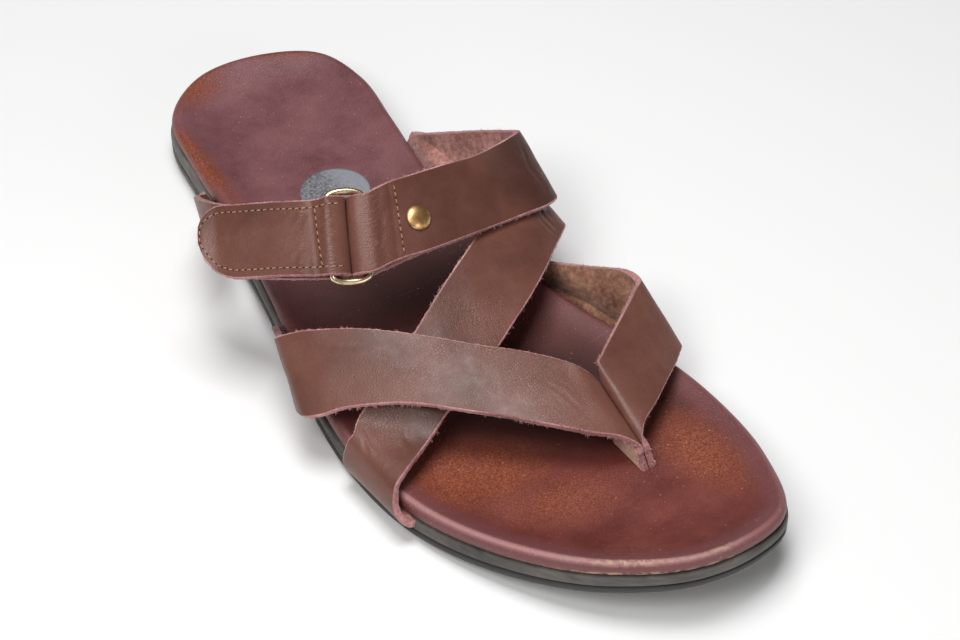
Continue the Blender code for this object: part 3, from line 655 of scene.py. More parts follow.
def tread_shade(count):
    """How dark the rubber is at each point: the tread band, and painted shade on the side toward the toe."""
    shade = np.full(count, 1.0)
    toeward = smooth_step(0.20, 0.55, step_share(EDGE[:, 1]))
    for number, (_, share) in enumerate(SOLE_SIDE, start=2):
        least, more = (0.25, 0.65) if share < 0.49 else (0.0, 0.40)
        shade[number * EDGE_COUNT:(number + 1) * EDGE_COUNT] = least + more * toeward
    shade[(len(SOLE_SIDE) + 2) * EDGE_COUNT:] = 0.0
    return shade


outsole = make_outsole()
paint(outsole, "tread_band", tread_shade(len(outsole.data.vertices)))
dress(outsole, "outsole")

# %% [markdown]
# The footbed is wrapped: its leather comes up from the feather line, rolls over a padded rim
# and runs down into a shallow dish. Its section is a short table, and loops carry it round
# the outline. Painted values go with the points: how near the rim they are, where the toe
# has been scuffed pale, where the front ridge catches light, and how near the heel they are.

# %% Footbed
# Outside of the rim. Columns: inset in metres, share of RIM_HEIGHT above the feather line
BED_EDGE = (
    (0.0016, 0.06), (0.0007, 0.07), (0.0002, 0.13), (0.0000, 0.26), (-0.0001, 0.42),
    (0.0000, 0.56), (0.0002, 0.70), (0.0006, 0.83), (0.0011, 0.92), (0.0017, 0.98),
)
DISH_INSETS = (0.0024, 0.0032, 0.0042, 0.0054, 0.0068, 0.0084, 0.0102)
DISH_FLOOR = 0.28
DISH_SPREAD = 7.0 * MM
ARCH_RISE = 1.8 * MM
TOE_RIDGE = 1.0 * MM
BALL_DENT = 0.35 * MM
HEEL_DENT = 0.5 * MM


def distance_inside(x, y):
    return float(np.hypot(EDGE[:, 0] - x, EDGE[:, 1] - y).min())


def footing(x, y, inset=None):
    """Height of the footbed: a rolled rim that sinks into a dish, with arch and toe ridge."""
    inset = distance_inside(x, y) if inset is None else inset
    s = float(step_share(y))
    inner = float(smooth_step(6 * MM, 16 * MM, inset))
    roll = DISH_FLOOR + (1 - DISH_FLOOR) * math.exp(-(max(inset - 2.2 * MM, 0) / DISH_SPREAD) ** 1.35)
    medial = float(smooth_step(0, 0.25 * BALL_WIDTH, x - SHIFT[0]))
    arch = ARCH_RISE * math.exp(-((s - 0.42) / 0.13) ** 2) * medial
    ridge = TOE_RIDGE * math.exp(-((s - 0.80) / 0.05) ** 2)
    dent = BALL_DENT * math.exp(-((x - 0.030) / 0.014) ** 2 - ((y + 0.088) / 0.020) ** 2)
    heel = HEEL_DENT * math.exp(-((x + 0.008) / 0.016) ** 2 - ((y - 0.088) / 0.022) ** 2)
    return float(feather(y)) + roll * RIM_HEIGHT + (arch + ridge - dent - heel) * inner


def rim_paint():
    """Painted values of the footbed's loops, from the feather line inwards."""
    x, y = EDGE.T
    toeward = step_share(y)
    toe_part = np.array(smooth_step(0.35, 0.75, toeward))
    front_light = smooth_step(0.58, 0.74, toeward) * (1 - 0.75 * smooth_step(0.0, 0.045, x))
    k = np.arange(EDGE_COUNT)
    wear = 0.5 + 0.5 * np.sin(k * 0.41) * np.sin(k * 0.157 + 1.0)
    toe_wear = np.exp(-((x + 0.004) / 0.010) ** 2) + 0.7 * np.exp(-((x - 0.017) / 0.004) ** 2)
    toe_wear *= y < -0.08
    values = {name: [np.zeros(2 * EDGE_COUNT)] for name in ("rim", "scuff", "ridge")}
    for inset, level in BED_EDGE + tuple((inset, 1.2) for inset in DISH_INSETS):
        band = 1 - float(smooth_step(0.0035, 0.0095, inset))
        lip = math.exp(-((level - 0.16) / 0.12) ** 2)
        crest = math.exp(-((level - 0.95) / 0.15) ** 2)
        rubbed = (2.2 * lip + 0.7 * crest) * toe_wear + 0.35 * wear * lip * toe_part
        values["rim"].append(band * (0.15 + 0.6 * toe_part))
        values["scuff"].append(np.clip(rubbed, 0, 1))
        # Painted highlight, with some worn dye, along the front ridge of the rim.
        values["ridge"].append(0.70 * math.exp(-((level - 0.93) / 0.10) ** 2) * front_light)
    return {name: np.concatenate(parts) for name, parts in values.items()}


def make_footbed():
    rings = [
        ring_at(0.0092, lambda y: feather(y) - WELL_DEPTH + GAP),
        ring_at(0.0072, lambda y: feather(y) + GAP),
    ]
    for inset, share in BED_EDGE:
        rings.append(ring_at(inset, lambda y, lift=share * RIM_HEIGHT: feather(y) + lift))
    for inset in DISH_INSETS:
        flat = EDGE - OUTWARD * inset
        rings.append(np.array([(x, y, footing(x, y, inset)) for x, y in flat]))
    points = [p for ring in rings for p in ring]
    faces = wrap_faces(len(rings), EDGE_COUNT)
    close_with_strips(points, faces, 0, lambda x, y: float(feather(y)) - WELL_DEPTH + GAP, steps=8)
    close_with_strips(points, faces, (len(rings) - 1) * EDGE_COUNT, footing, steps=40)
    piece = mesh_piece("leather_footbed", points, faces, [bed_leather])
    for name, values in rim_paint().items():
        paint(piece, name, np.pad(values, (0, len(points) - len(values))))
    paint(piece, "heelward", 1 - smooth_step(0.30, 0.62, step_share([p[1] for p in points])))
    return piece


dress(make_footbed(), "footbed")

# %% [markdown]
# A worn foil disc lies on the heel, partly under the strap. It follows the footbed's dish.

# %% Foil disc
DISC_CENTRE = np.array([0.0028, 0.0564])
DISC_RADIUS = 10.7 * MM
FOIL_LIFT = 0.04 * MM
FOIL_THICKNESS = 0.12 * MM


def make_disc(rings=16, around=72):
    points, faces = [], []
    for lift in (FOIL_LIFT, FOIL_LIFT + FOIL_THICKNESS):
        start = len(points)
        for r in range(1, rings + 1):
            reach = DISC_RADIUS * r / rings
            for x, y in circle(DISC_CENTRE, np.array([reach, 0]), np.array([0, reach]), around):
                points.append((x, y, footing(x, y) + lift))
        faces += wrap_faces(rings, around, start)
        faces.append(tuple(range(start, start + around)))
    low, high = (rings - 1) * around, (2 * rings - 1) * around
    for k in range(around):
        n = (k + 1) % around
        faces.append((low + k, low + n, high + n, high + k))
    return mesh_piece("foil_disc", points, faces, [foil])


dress(make_disc(), "footbed", stands_for=False)

# %% [markdown]
# Each strap is a flat band of hide that bends but hardly stretches, so it is drawn by its
# two edges. A row of a table is one place along the strap: the rear edge, then the front
# edge, each across, along and up, as shares of the driving sizes. FEET gives the side of
# the sole where a strap comes out and its rear and front place, as shares of the length.

# %% Strap tables
INSTEP_STRAP = (
    (0.302, 0.241, 0.298, 0.344, 0.148, 0.237),
    (0.349, 0.196, 0.421, 0.394, 0.112, 0.316),
    (0.399, 0.155, 0.526, 0.428, 0.076, 0.395),
    (0.436, 0.119, 0.614, 0.447, 0.042, 0.453),
    (0.438, 0.104, 0.658, 0.440, 0.019, 0.491),
    (0.383, 0.088, 0.711, 0.377, 0.001, 0.544),
    (0.305, 0.072, 0.763, 0.294, -0.009, 0.588),
    (0.187, 0.050, 0.842, 0.171, -0.020, 0.640),
    (0.057, 0.038, 0.912, 0.004, -0.032, 0.702),
    (-0.061, 0.031, 0.956, -0.112, -0.038, 0.737),
    (-0.153, 0.027, 0.982, -0.220, -0.038, 0.754),
)
DIAGONAL_STRAP = (
    (0.311, 0.132, 0.246, 0.344, 0.048, 0.219),
    (0.372, 0.096, 0.360, 0.433, 0.014, 0.298),
    (0.389, 0.070, 0.509, 0.434, -0.004, 0.386),
    (0.317, 0.042, 0.610, 0.376, -0.027, 0.430),
    (0.222, 0.012, 0.632, 0.308, -0.051, 0.465),
    (0.121, -0.010, 0.635, 0.235, -0.076, 0.488),
    (0.019, -0.035, 0.632, 0.123, -0.107, 0.488),
    (-0.084, -0.058, 0.611, 0.035, -0.128, 0.484),
    (-0.181, -0.080, 0.578, -0.057, -0.149, 0.464),
    (-0.271, -0.100, 0.541, -0.138, -0.165, 0.446),
    (-0.366, -0.122, 0.487, -0.221, -0.179, 0.418),
    (-0.460, -0.1345, 0.405, -0.295, -0.187, 0.365),
    (-0.516, -0.138, 0.338, -0.367, -0.199, 0.318),
)
TOE_STRAP_LATERAL = (
    (-0.556, 0.032, 0.263, -0.594, -0.056, 0.211),
    (-0.593, 0.002, 0.368, -0.641, -0.078, 0.246),
    (-0.604, -0.009, 0.439, -0.648, -0.102, 0.298),
    (-0.558, -0.025, 0.500, -0.608, -0.118, 0.342),
    (-0.513, -0.042, 0.544, -0.556, -0.129, 0.386),
    (-0.419, -0.071, 0.588, -0.457, -0.155, 0.439),
    (-0.325, -0.099, 0.596, -0.385, -0.174, 0.456),
    (-0.232, -0.127, 0.588, -0.295, -0.202, 0.456),
    (-0.138, -0.154, 0.570, -0.180, -0.236, 0.447),
    (-0.039, -0.178, 0.544, -0.085, -0.265, 0.430),
    (0.054, -0.205, 0.514, 0.016, -0.293, 0.400),
    (0.100, -0.223, 0.491, 0.095, -0.308, 0.368),
)
TOE_STRAP_MEDIAL = (
    (0.278, 0.008, 0.246, 0.458, -0.150, 0.170),
    (0.328, -0.035, 0.325, 0.476, -0.172, 0.177),
    (0.417, -0.081, 0.386, 0.484, -0.190, 0.190),
    (0.470, -0.113, 0.439, 0.496, -0.204, 0.224),
    (0.471, -0.136, 0.470, 0.494, -0.213, 0.268),
    (0.425, -0.152, 0.488, 0.426, -0.236, 0.295),
    (0.358, -0.171, 0.495, 0.353, -0.257, 0.321),
    (0.258, -0.198, 0.495, 0.260, -0.284, 0.347),
    (0.188, -0.217, 0.491, 0.190, -0.302, 0.361),
    (0.156, -0.2265, 0.483, 0.163, -0.312, 0.345),
)
TOE_POST = (
    (0.141, -0.239, 0.425, 0.147, -0.321, 0.307),
    (0.146, -0.256, 0.342, 0.150, -0.326, 0.254),
    (0.148, -0.264, 0.254, 0.152, -0.333, 0.202),
    (0.149, -0.280, 0.167, 0.153, -0.337, 0.140),
    (0.149, -0.284, 0.128, 0.153, -0.338, 0.105),
)
BUCKLE_STRAP = (
    (-0.500, 0.264, 0.333, -0.522, 0.176, 0.298),
    (-0.567, 0.224, 0.509, -0.606, 0.144, 0.412),
    (-0.583, 0.184, 0.640, -0.644, 0.110, 0.491),
    (-0.561, 0.144, 0.737, -0.639, 0.078, 0.553),
    (-0.494, 0.104, 0.816, -0.583, 0.046, 0.605),
)
FASTENING_TAB = (
    (-0.379, 0.042, 0.982, -0.478, -0.015, 0.763),
    (-0.436, 0.059, 0.956, -0.521, 0.001, 0.737),
    (-0.479, 0.077, 0.921, -0.567, 0.017, 0.711),
    (-0.525, 0.094, 0.886, -0.612, 0.034, 0.675),
    (-0.564, 0.111, 0.847, -0.655, 0.050, 0.649),
    (-0.598, 0.125, 0.816, -0.683, 0.068, 0.640),
    (-0.622, 0.128, 0.798, -0.693, 0.080, 0.658),
    (-0.650, 0.127, 0.772, -0.699, 0.093, 0.684),
    (-0.670, 0.122, 0.747, -0.694, 0.106, 0.698),
)
FEET = {
    "instep": ("medial", 0.262, 0.176),
    "diagonal_medial": ("medial", 0.160, 0.076),
    "toe_medial": ("medial", 0.034, -0.135),
    "buckle": ("lateral", 0.288, 0.202),
    "toe_lateral": ("lateral", 0.052, -0.036),
    "diagonal_lateral": ("lateral", -0.153, -0.249),
}
STEP = np.array([BALL_WIDTH, SOLE_LENGTH, INSTEP_HEIGHT] * 2)
OFFSET = np.array([SHIFT[0], SHIFT[1], 0.0] * 2)



def table(rows):
    return np.array(rows) * STEP + OFFSET


end_of_instep = table(INSTEP_STRAP)[-1]
end_width = float(np.linalg.norm(end_of_instep[:3] - end_of_instep[3:]))
print("strap width at the ring, mm:", round(end_width / MM, 1))

# %% [markdown]
# A strap's foot is tucked into the sole: a tongue lies flat between the footbed and the
# rubber, then the leather turns up round the rim. These rows come from the outline itself.
# The diagonal strap ends the other way: it comes down over the rim and is tucked in below,
# with a front corner that curls a little outward.

# %% Strap feet


def edge_point(side, y):
    """The point of the feather line beside a place along the sole, and the way outward."""
    line = MEDIAL if side == "medial" else LATERAL
    line = line[np.argsort(line[:, 1])]
    x, ahead, behind = (float(np.interp(v, line[:, 1], line[:, 0])) for v in (y, y + 2 * MM, y - 2 * MM))
    outward = np.array([4 * MM, behind - ahead, 0.0])
    outward /= np.linalg.norm(outward)
    return np.array([x, y, float(feather(y))]), outward if side == "medial" else -outward


def foot_row(foot, out, up, lean=0.0, curl=0.0, rear_out=0.0):
    """A row beside the sole: so far out and up, its front corner leaning ahead or curling out."""
    side, rear, front = FEET[foot]
    row = []
    for share, more in ((rear, rear_out), (front + lean, curl)):
        point, outward = edge_point(side, share * SOLE_LENGTH + SHIFT[1])
        row.extend(point + outward * (out + more) + np.array([0, 0, up]))
    return np.array(row)


TUCK = -LEATHER - GAP


def foot_rows(foot, flare=0.0):
    places = (
        (-TONGUE, TUCK), (-0.45 * TONGUE, TUCK), (0.2 * MM, TUCK), (1.9 * MM, -1.2 * MM),
        (2.7 * MM + 0.3 * flare, 1.2 * MM), (2.9 * MM + flare, 3.6 * MM),
    )
    return [foot_row(foot, out, up) for out, up in places]


def over_rim_rows(foot):
    places = (
        (-1.2 * LEATHER, RIM_HEIGHT + 2.9 * LEATHER, 0.018, 0.0, 2.2 * MM),
        (0.4 * LEATHER, RIM_HEIGHT + 2.3 * LEATHER, 0.014, 0.3 * MM, 0.5 * MM),
        (1.35 * LEATHER, RIM_HEIGHT + 0.6 * LEATHER, 0.009, 0.7 * MM),
        (1.7 * LEATHER, 1.45 * LEATHER, 0.004, 0.8 * MM),
        (1.6 * LEATHER, 0.1 * LEATHER, -0.003, 0.6 * MM),
        (1.15 * LEATHER, -0.85 * LEATHER, -0.008),
        (0.2 * MM, TUCK, -0.010),
    )
    return [foot_row(foot, *place) for place in places] + foot_rows(foot)[1::-1]


def shifted(rows, side, distance):
    """Rows moved through the leather, square to its surface."""
    rows = np.asarray(rows)
    along = np.gradient((rows[:, :3] + rows[:, 3:]) / 2, axis=0)
    normal = np.cross(along, rows[:, 3:] - rows[:, :3]) * side
    normal /= np.linalg.norm(normal, axis=1)[:, None]
    return rows - np.hstack([normal, normal]) * distance


print("rows in a foot:", len(foot_rows("instep")))

# %% [markdown]
# A strap is a smooth path through its rows, with a grid of points over the grain side. A
# relief function pushes each point along the surface's normal: that is where creases and
# soft waves come from. The flesh side runs 2 mm below, and a rounded, slightly ragged strip
# of points closes each cut edge.

# %% Sections of a strap
EDGE_ANGLES = (66, 38, 13, -13, -38, -66)
EDGE_ROUND = 0.45 * MM
ACROSS = 40


def strap_grid(rows, count, side):
    """Points, normals and distances of the grain side of a strap, before its relief."""
    path = curve_through(rows, count)
    rear, front = path[:, :3], path[:, 3:]
    shares = np.linspace(0, 1, ACROSS)
    grid = rear[:, None] + (front - rear)[:, None] * shares[None, :, None]
    along = np.gradient(grid, axis=0)
    normal = np.cross(along, np.broadcast_to((front - rear)[:, None], grid.shape)) * side
    normal /= np.linalg.norm(normal, axis=2)[..., None]
    pinch = np.clip(EDGE_ROUND / np.linalg.norm(front - rear, axis=1), 0, 0.2)[:, None]
    placed = pinch + shares[None, :] * (1 - 2 * pinch)
    grid = rear[:, None] + (front - rear)[:, None] * placed[..., None]
    return grid, normal, distances((rear + front) / 2), placed


def ragged(travelled, seed):
    """How far a cut edge stands out along its length: worn, uneven hide."""
    chance = random.Random(seed)
    total = np.zeros_like(travelled)
    for size, height in ((6.1, 0.08), (2.3, 0.11), (1.1, 0.12)):
        total += np.sin(travelled / (size * MM) * TAU + chance.uniform(0, 6)) * height * MM / 2
    return total


def cut_strip(grid, outer, normal, travelled, column, seed):
    """Rounded points of one cut edge, from the grain side to the flesh side."""
    core = outer[:, column] - normal[:, column] * LEATHER / 2
    outwards = grid[:, column] - grid[:, -1 - column]
    outwards /= np.linalg.norm(outwards, axis=1)[:, None]
    rough = ragged(travelled, seed)
    strip = []
    for angle in np.radians(EDGE_ANGLES):
        reach = EDGE_ROUND * math.cos(angle) ** 0.45
        lift = 0.5 * LEATHER * math.copysign(abs(math.sin(angle)) ** 0.72, angle)
        strip.append(core + outwards * (reach + rough)[:, None] + normal[:, column] * lift)
    return strip


def round_off(section, centre, up):
    """Extra sections that round the end of a strap, as a pared edge is."""
    ahead = section[-1] - section[-2]
    ahead /= np.linalg.norm(ahead, axis=1)[:, None]
    extra = []
    for angle in np.radians((25, 50, 70, 82)):
        height = ((section[-1] - centre) @ up)[:, None] * up
        extra.append(section[-1] - height * (1 - math.cos(angle) ** 0.7) + ahead * math.sin(angle) * 0.5 * MM)
    return np.concatenate([section, np.array(extra)])


def end_caps(rounds):
    """Faces that close both ends of a strap across its thickness."""
    half = ACROSS + len(EDGE_ANGLES)
    faces = []
    for start in (0, (rounds - 1) * 2 * half):
        flat = list(range(start, start + 2 * half))
        for j in range(ACROSS - 1):
            faces.append((flat[j], flat[j + 1], flat[half + ACROSS - 2 - j], flat[half + ACROSS - 1 - j]))
        faces.append(tuple(flat[ACROSS - 1:half + 1]))
        faces.append(tuple(flat[half + ACROSS - 1:] + flat[:1]))
    return faces


print("points round a strap:", 2 * (ACROSS + len(EDGE_ANGLES)))

# %% [markdown]
# One function makes every strap from those sections. It also paints what the leather's
# material reads: the place along and round the strap, where it is folded and where painted
# shade darkens it. Grain, cut edge and flesh side are three materials of one mesh.

# %% Strap maker


def paint_strap(piece, section, travelled, folds, painted_shades):
    """Marks are rows of (distance along the strap, width, amount)."""
    along = np.concatenate([travelled, np.full(len(section) - len(travelled), travelled[-1])])
    steps = np.linalg.norm(np.diff(section, axis=1), axis=2)
    across = np.hstack([np.zeros((len(section), 1)), np.cumsum(steps, axis=1)])
    places = np.stack([along[:, None] + 0 * across, across, 0 * across], axis=-1)
    layer = piece.data.attributes.new("strap_place", "FLOAT_VECTOR", "POINT")
    layer.data.foreach_set("vector", places.ravel())
    for name, marks in (("fold", folds), ("dye", painted_shades)):
        values = np.zeros_like(across)
        for place, width, amount in marks:
            values = np.maximum(values, amount * np.exp(-((along - place) / width) ** 2)[:, None])
        paint(piece, name, values.ravel())


def strap(name, node, rows, count, side, relief, flesh, rounded_end=False, folds=(), painted_shades=()):
    """Makes one strap of so many rows and returns its grain side: points, normals, distances.

    The side is 1 or -1, whichever turns the normals outward.
    """
    grid, normal, travelled, placed = strap_grid(rows, count, side)
    push = relief(grid, travelled[:, None] * np.ones_like(placed), placed)
    outer = grid + normal * push[..., None]
    inner = outer - normal * LEATHER
    front = cut_strip(grid, outer, normal, travelled, -1, name + "-1")
    rear = cut_strip(grid, outer, normal, travelled, 0, name + "0")
    section = [*outer.swapaxes(0, 1), *front, *inner.swapaxes(0, 1)[::-1], *rear[::-1]]
    section = np.stack(section, axis=1)
    if rounded_end:
        section = round_off(section, (outer[-1] + inner[-1]).mean(axis=0) / 2, normal[-1].mean(axis=0))
    rounds, around = section.shape[:2]
    faces = wrap_faces(rounds, around)
    cut = [1] * (len(EDGE_ANGLES) + 1)
    slots = ([0] * (ACROSS - 1) + cut + [2] * (ACROSS - 1) + cut) * (count - 1)
    caps = end_caps(rounds)
    slots += [1] * (len(faces) - len(slots) + len(caps))
    piece = mesh_piece(name, section.reshape(-1, 3), faces + caps, [grain_leather, cut_edge, flesh], slots)
    paint_strap(piece, section, travelled, folds, painted_shades)
    dress(piece, node)
    return outer, normal, travelled


print("strap maker ready")

# %% [markdown]
# Creases are lines on the leather, each a soft trough with a low ridge on either side, as
# leather buckles when it folds. A crease is written as a short line of places on the strap,
# along it and across it, with a depth. Slow waves are added so no strap is perfectly flat.

# %% Creases and waves


def waves(grid, size, height, seed):
    """Slow irregular swell of a surface, made of crossed sine waves."""
    chance = random.Random(seed)
    total = np.zeros(grid.shape[:2])
    for octave in range(5):
        turn = chance.uniform(0, TAU)
        way = np.array([math.cos(turn), math.sin(turn), chance.uniform(-0.6, 0.6)]) * (1.0 + 0.55 * octave)
        total += np.sin(grid @ way * TAU / size + chance.uniform(0, 6.28)) / (1.0 + 0.8 * octave)
    return total * height / 2


CREASE_WIDTH = 0.9 * MM
CREASED_BREADTH = 24 * MM


def crease(travelled, share, line, depth):
    """Relief of one crease. The line's columns: distance along the strap, share across it."""
    spot = np.stack([travelled, share * CREASED_BREADTH], axis=-1)
    line = np.array(line) * (1, CREASED_BREADTH)
    nearest, where = np.full(share.shape, 1.0), np.zeros(share.shape)
    for i, (start, stop) in enumerate(zip(line[:-1], line[1:])):
        span = stop - start
        t = np.clip(((spot - start) @ span) / (span @ span), 0, 1)
        gap = np.linalg.norm(spot - start - t[..., None] * span, axis=-1)
        where = np.where(gap < nearest, (i + t) / (len(line) - 1), where)
        nearest = np.minimum(nearest, gap)
    fade = np.sin(np.clip(where, 0.03, 0.97) * math.pi) ** 0.6
    r = nearest / CREASE_WIDTH
    return depth * fade * (0.55 * np.exp(-((r - 1.9) / 0.9) ** 2) - np.exp(-r * r))


def creases(travelled, share, start, rows):
    """Several creases from a place along the strap. Rows: depth in mm, places in mm and shares."""
    total = np.zeros(share.shape)
    for depth, places in rows:
        line = [(start + along * MM, across) for along, across in places]
        total += crease(travelled, share, line, depth * MM)
    return total


def swell(travelled, place, width, height):
    """A soft ridge (or a trough, with a negative height) straight across a strap."""
    return height * np.exp(-((travelled - place) / width) ** 2)


def out_on_strap(travelled, tail=None):
    """0 inside the sole and 1 out on the strap, so relief never cuts into the sole."""
    value = smooth_step(12 * MM, 20 * MM, travelled)
    if tail is not None:
        high = travelled.max() - tail
        value = value * (1 - smooth_step(high - 8 * MM, high, travelled))
    return value


def distance_to_row(rows, row):
    """Distance along the middle of a strap from its start to one row of its table."""
    path = curve_through(rows, 2000)
    middle = (path[:, :3] + path[:, 3:]) / 2
    gap = np.linalg.norm(middle - (row[:3] + row[3:]) / 2, axis=1)
    return float(distances(middle)[int(np.argmin(gap))])


print("crease helpers ready")

# %% [markdown]
# The ring holds the two ends apart. Its place and slant come from the same table as in the
# solids; the instep strap turns round one long side and the fastening strap round the other.

# %% Ring frame
RING_CENTRE = (-0.327, 0.004, 0.835)
RING_LONG_WAY = (-0.32, -0.75, -0.60)
RING_WIRE = 1.1 * MM
RING_HALF_LENGTH = 12.7 * MM
RING_HALF_WIDTH = 4.9 * MM
RING_END_RISE = 1.8 * MM
FOLD_REACH = 0.86 * MM


def unit(vector):
    return vector / np.linalg.norm(vector)


ring_middle = np.array(RING_CENTRE) * STEP[:3] + OFFSET[:3]
long_way = unit(np.array(RING_LONG_WAY))
tab_start = table(FASTENING_TAB)[0]
to_instep = (end_of_instep[:3] + end_of_instep[3:]) / 2 - (tab_start[:3] + tab_start[3:]) / 2
to_instep = unit(to_instep - long_way * (to_instep @ long_way))
ring_up = np.cross(to_instep, -long_way)
ring_up = ring_up if ring_up[2] > 0 else -ring_up


def loop_rows(towards, start, stop, steps=9):
    """Rows that turn round one long side of the ring; the folds bulge towards each other."""
    core = ring_middle + to_instep * towards * RING_HALF_WIDTH
    radius = RING_WIRE + 3 * GAP + LEATHER
    rows = []
    for angle in np.radians(np.linspace(start, stop, steps)):
        middle = core + ring_up * math.sin(angle) * radius
        middle = middle - to_instep * towards * math.cos(angle) * (radius + FOLD_REACH)
        rows.append([*(middle - long_way * end_width / 2), *(middle + long_way * end_width / 2)])
    return rows


print("ring middle, mm:", (ring_middle / MM).round(1))

# %% [markdown]
# The instep strap rises from the medial side, crosses the instep and turns back under
# itself round the ring. Its creases gather at the turn.

# %% Instep strap
# Creases. Each: depth in mm, then places (mm from a row, share across)
INSTEP_CREASES = (
    (0.10, ((-3.0, 0.10), (-6.0, 0.22), (-8.0, 0.30))),
    (0.12, ((2.0, 0.55), (4.5, 0.62), (6.5, 0.78))),
    (0.10, ((1.5, 0.30), (3.0, 0.38), (4.0, 0.52))),
    (0.07, ((-58.0, 0.15), (-56.0, 0.45), (-59.0, 0.80))),
)
top_rows = table(INSTEP_STRAP)
under_rows = shifted(top_rows, 1, 2 * LEATHER + GAP)[::-1]
instep_rows = [*foot_rows("instep", 1.2 * MM), *top_rows, *loop_rows(1, 90, -90), *under_rows[1:4]]
instep_fold, instep_bend, instep_middle = (distance_to_row(instep_rows, top_rows[k]) for k in (-1, 4, 8))


def instep_relief(grid, travelled, share):
    bulge = swell(travelled, instep_fold + 7.5 * MM, 1.6 * MM, 0.45 * MM)
    bulge += swell(travelled, instep_fold + 4.2 * MM, 1.3 * MM, -0.25 * MM)
    bulge += swell(travelled, instep_fold, 0.7 * MM, -0.18 * MM)
    bulge += creases(travelled, share, instep_fold, INSTEP_CREASES)
    return out_on_strap(travelled) * waves(grid, 34 * MM, 0.22 * MM, 3) + bulge


# The strap's medial bend, which faces away from the light, and its middle are darkened with painted shade.
instep = strap(
    "instep_strap", "upper", instep_rows, 420, 1, instep_relief, flesh=pink_suede,
    folds=((instep_fold + 6 * MM, 4.5 * MM, 1.0),),
    painted_shades=((instep_bend, 22 * MM, 0.75), (instep_middle, 20 * MM, 0.30)))

# %% [markdown]
# The diagonal strap starts further forward on the same side, runs under the instep strap and
# across the foot, and ends on the lateral side over the rim.

# %% Diagonal strap
DIAGONAL_CREASES = (
    (0.16, ((-3.0, 0.42), (0.5, 0.60), (0.0, 0.85))),
    (0.12, ((1.5, 0.50), (3.5, 0.66), (3.0, 0.90))),
)
DIAGONAL_FOOT_CREASES = (
    (0.14, ((5.0, 0.18), (8.0, 0.30), (10.0, 0.48))),
    (0.10, ((8.0, 0.15), (11.0, 0.28), (13.0, 0.42))),
    (0.12, ((-2.0, 0.60), (2.0, 0.70), (4.0, 0.88))),
)
slope_rows = table(DIAGONAL_STRAP)
diagonal_rows = [*foot_rows("diagonal_medial", 1.0 * MM), *slope_rows, *over_rim_rows("diagonal_lateral")]
diagonal_bend, diagonal_end = (distance_to_row(diagonal_rows, slope_rows[k]) for k in (3, 12))


def diagonal_relief(grid, travelled, share):
    marks = creases(travelled, share, diagonal_bend, DIAGONAL_CREASES)
    marks += creases(travelled, share, diagonal_end, DIAGONAL_FOOT_CREASES)
    return out_on_strap(travelled, 14 * MM) * (waves(grid, 30 * MM, 0.20 * MM, 8) + marks)


# Painted shade darkens this strap near its bend and near its lower end, under the lateral toe strap.
diagonal = strap(
    "diagonal_strap", "upper", diagonal_rows, 380, 1, diagonal_relief, flesh=pink_suede,
    painted_shades=((diagonal_end - 6 * MM, 9 * MM, 0.55), (diagonal_bend - 4 * MM, 5 * MM, 0.4)))

# %% [markdown]
# Two narrower straps cross the toes and meet between the first and second toe. There they
# turn down, grain to grain, and go through the footbed as the toe post. Their feet are a row
# shorter than the others, because these straps lean over as soon as they leave the rim.

# %% Toe straps
LATERAL_CREASES = (
    (0.05, ((38.0, 0.20), (52.0, 0.26), (66.0, 0.22))),
    (0.05, ((58.0, 0.58), (72.0, 0.62), (90.0, 0.56))),
    (0.06, ((104.0, 0.40), (109.0, 0.52), (112.0, 0.70))),
)
POST_SHIFT = np.array([0.16 * MM, 0, 0] * 2)


def lateral_relief(grid, travelled, share):
    marks = creases(travelled, share, 0.0, LATERAL_CREASES)
    return out_on_strap(travelled, 12 * MM) * (waves(grid, 30 * MM, 0.22 * MM, 12) + marks)


def medial_relief(grid, travelled, share):
    return out_on_strap(travelled, 12 * MM) * waves(grid, 30 * MM, 0.22 * MM, 17)


def toe_rows(foot, rows, shift):
    return [*foot_rows(foot, 1.2 * MM)[:-1], *table(rows), *(table(TOE_POST) + shift)]


# The flesh side of this strap is the lighter suede, painted light.
lateral_toe = strap(
    "lateral_toe_strap", "upper", toe_rows("toe_lateral", TOE_STRAP_LATERAL, -POST_SHIFT),
    340, -1, lateral_relief, flesh=painted_light_suede)
medial_toe = strap(
    "medial_toe_strap", "upper", toe_rows("toe_medial", TOE_STRAP_MEDIAL, POST_SHIFT),
    300, 1, medial_relief, flesh=tan_suede)

# %% [markdown]
# The fastening strap climbs the lateral side, passes round the ring and folds back over
# itself as a tab. It is lined, so both of its faces show grain. The hook-and-loop patches
# between its layers are hidden and are left out.

# %% Fastening strap
TAB_CREASES = (
    (0.13, ((1.0, 0.12), (3.0, 0.22), (5.0, 0.38))),
    (0.10, ((2.5, 0.10), (5.0, 0.20), (7.0, 0.30))),
    (0.08, ((1.5, 0.62), (4.0, 0.70), (6.0, 0.84))),
    (0.05, ((22.0, 0.20), (26.0, 0.45), (24.0, 0.70))),
)
outside_rows = np.array([*foot_rows("buckle", 1.0 * MM), *table(BUCKLE_STRAP)])
inside_rows = shifted(outside_rows, -1, LEATHER)
inside_rows[:3] = outside_rows[:3] + np.array([0, 0, LEATHER] * 2)
buckle_rows = [*inside_rows, *loop_rows(-1, -90, 90), *table(FASTENING_TAB)]
tab_fold = distance_to_row(buckle_rows, tab_start)


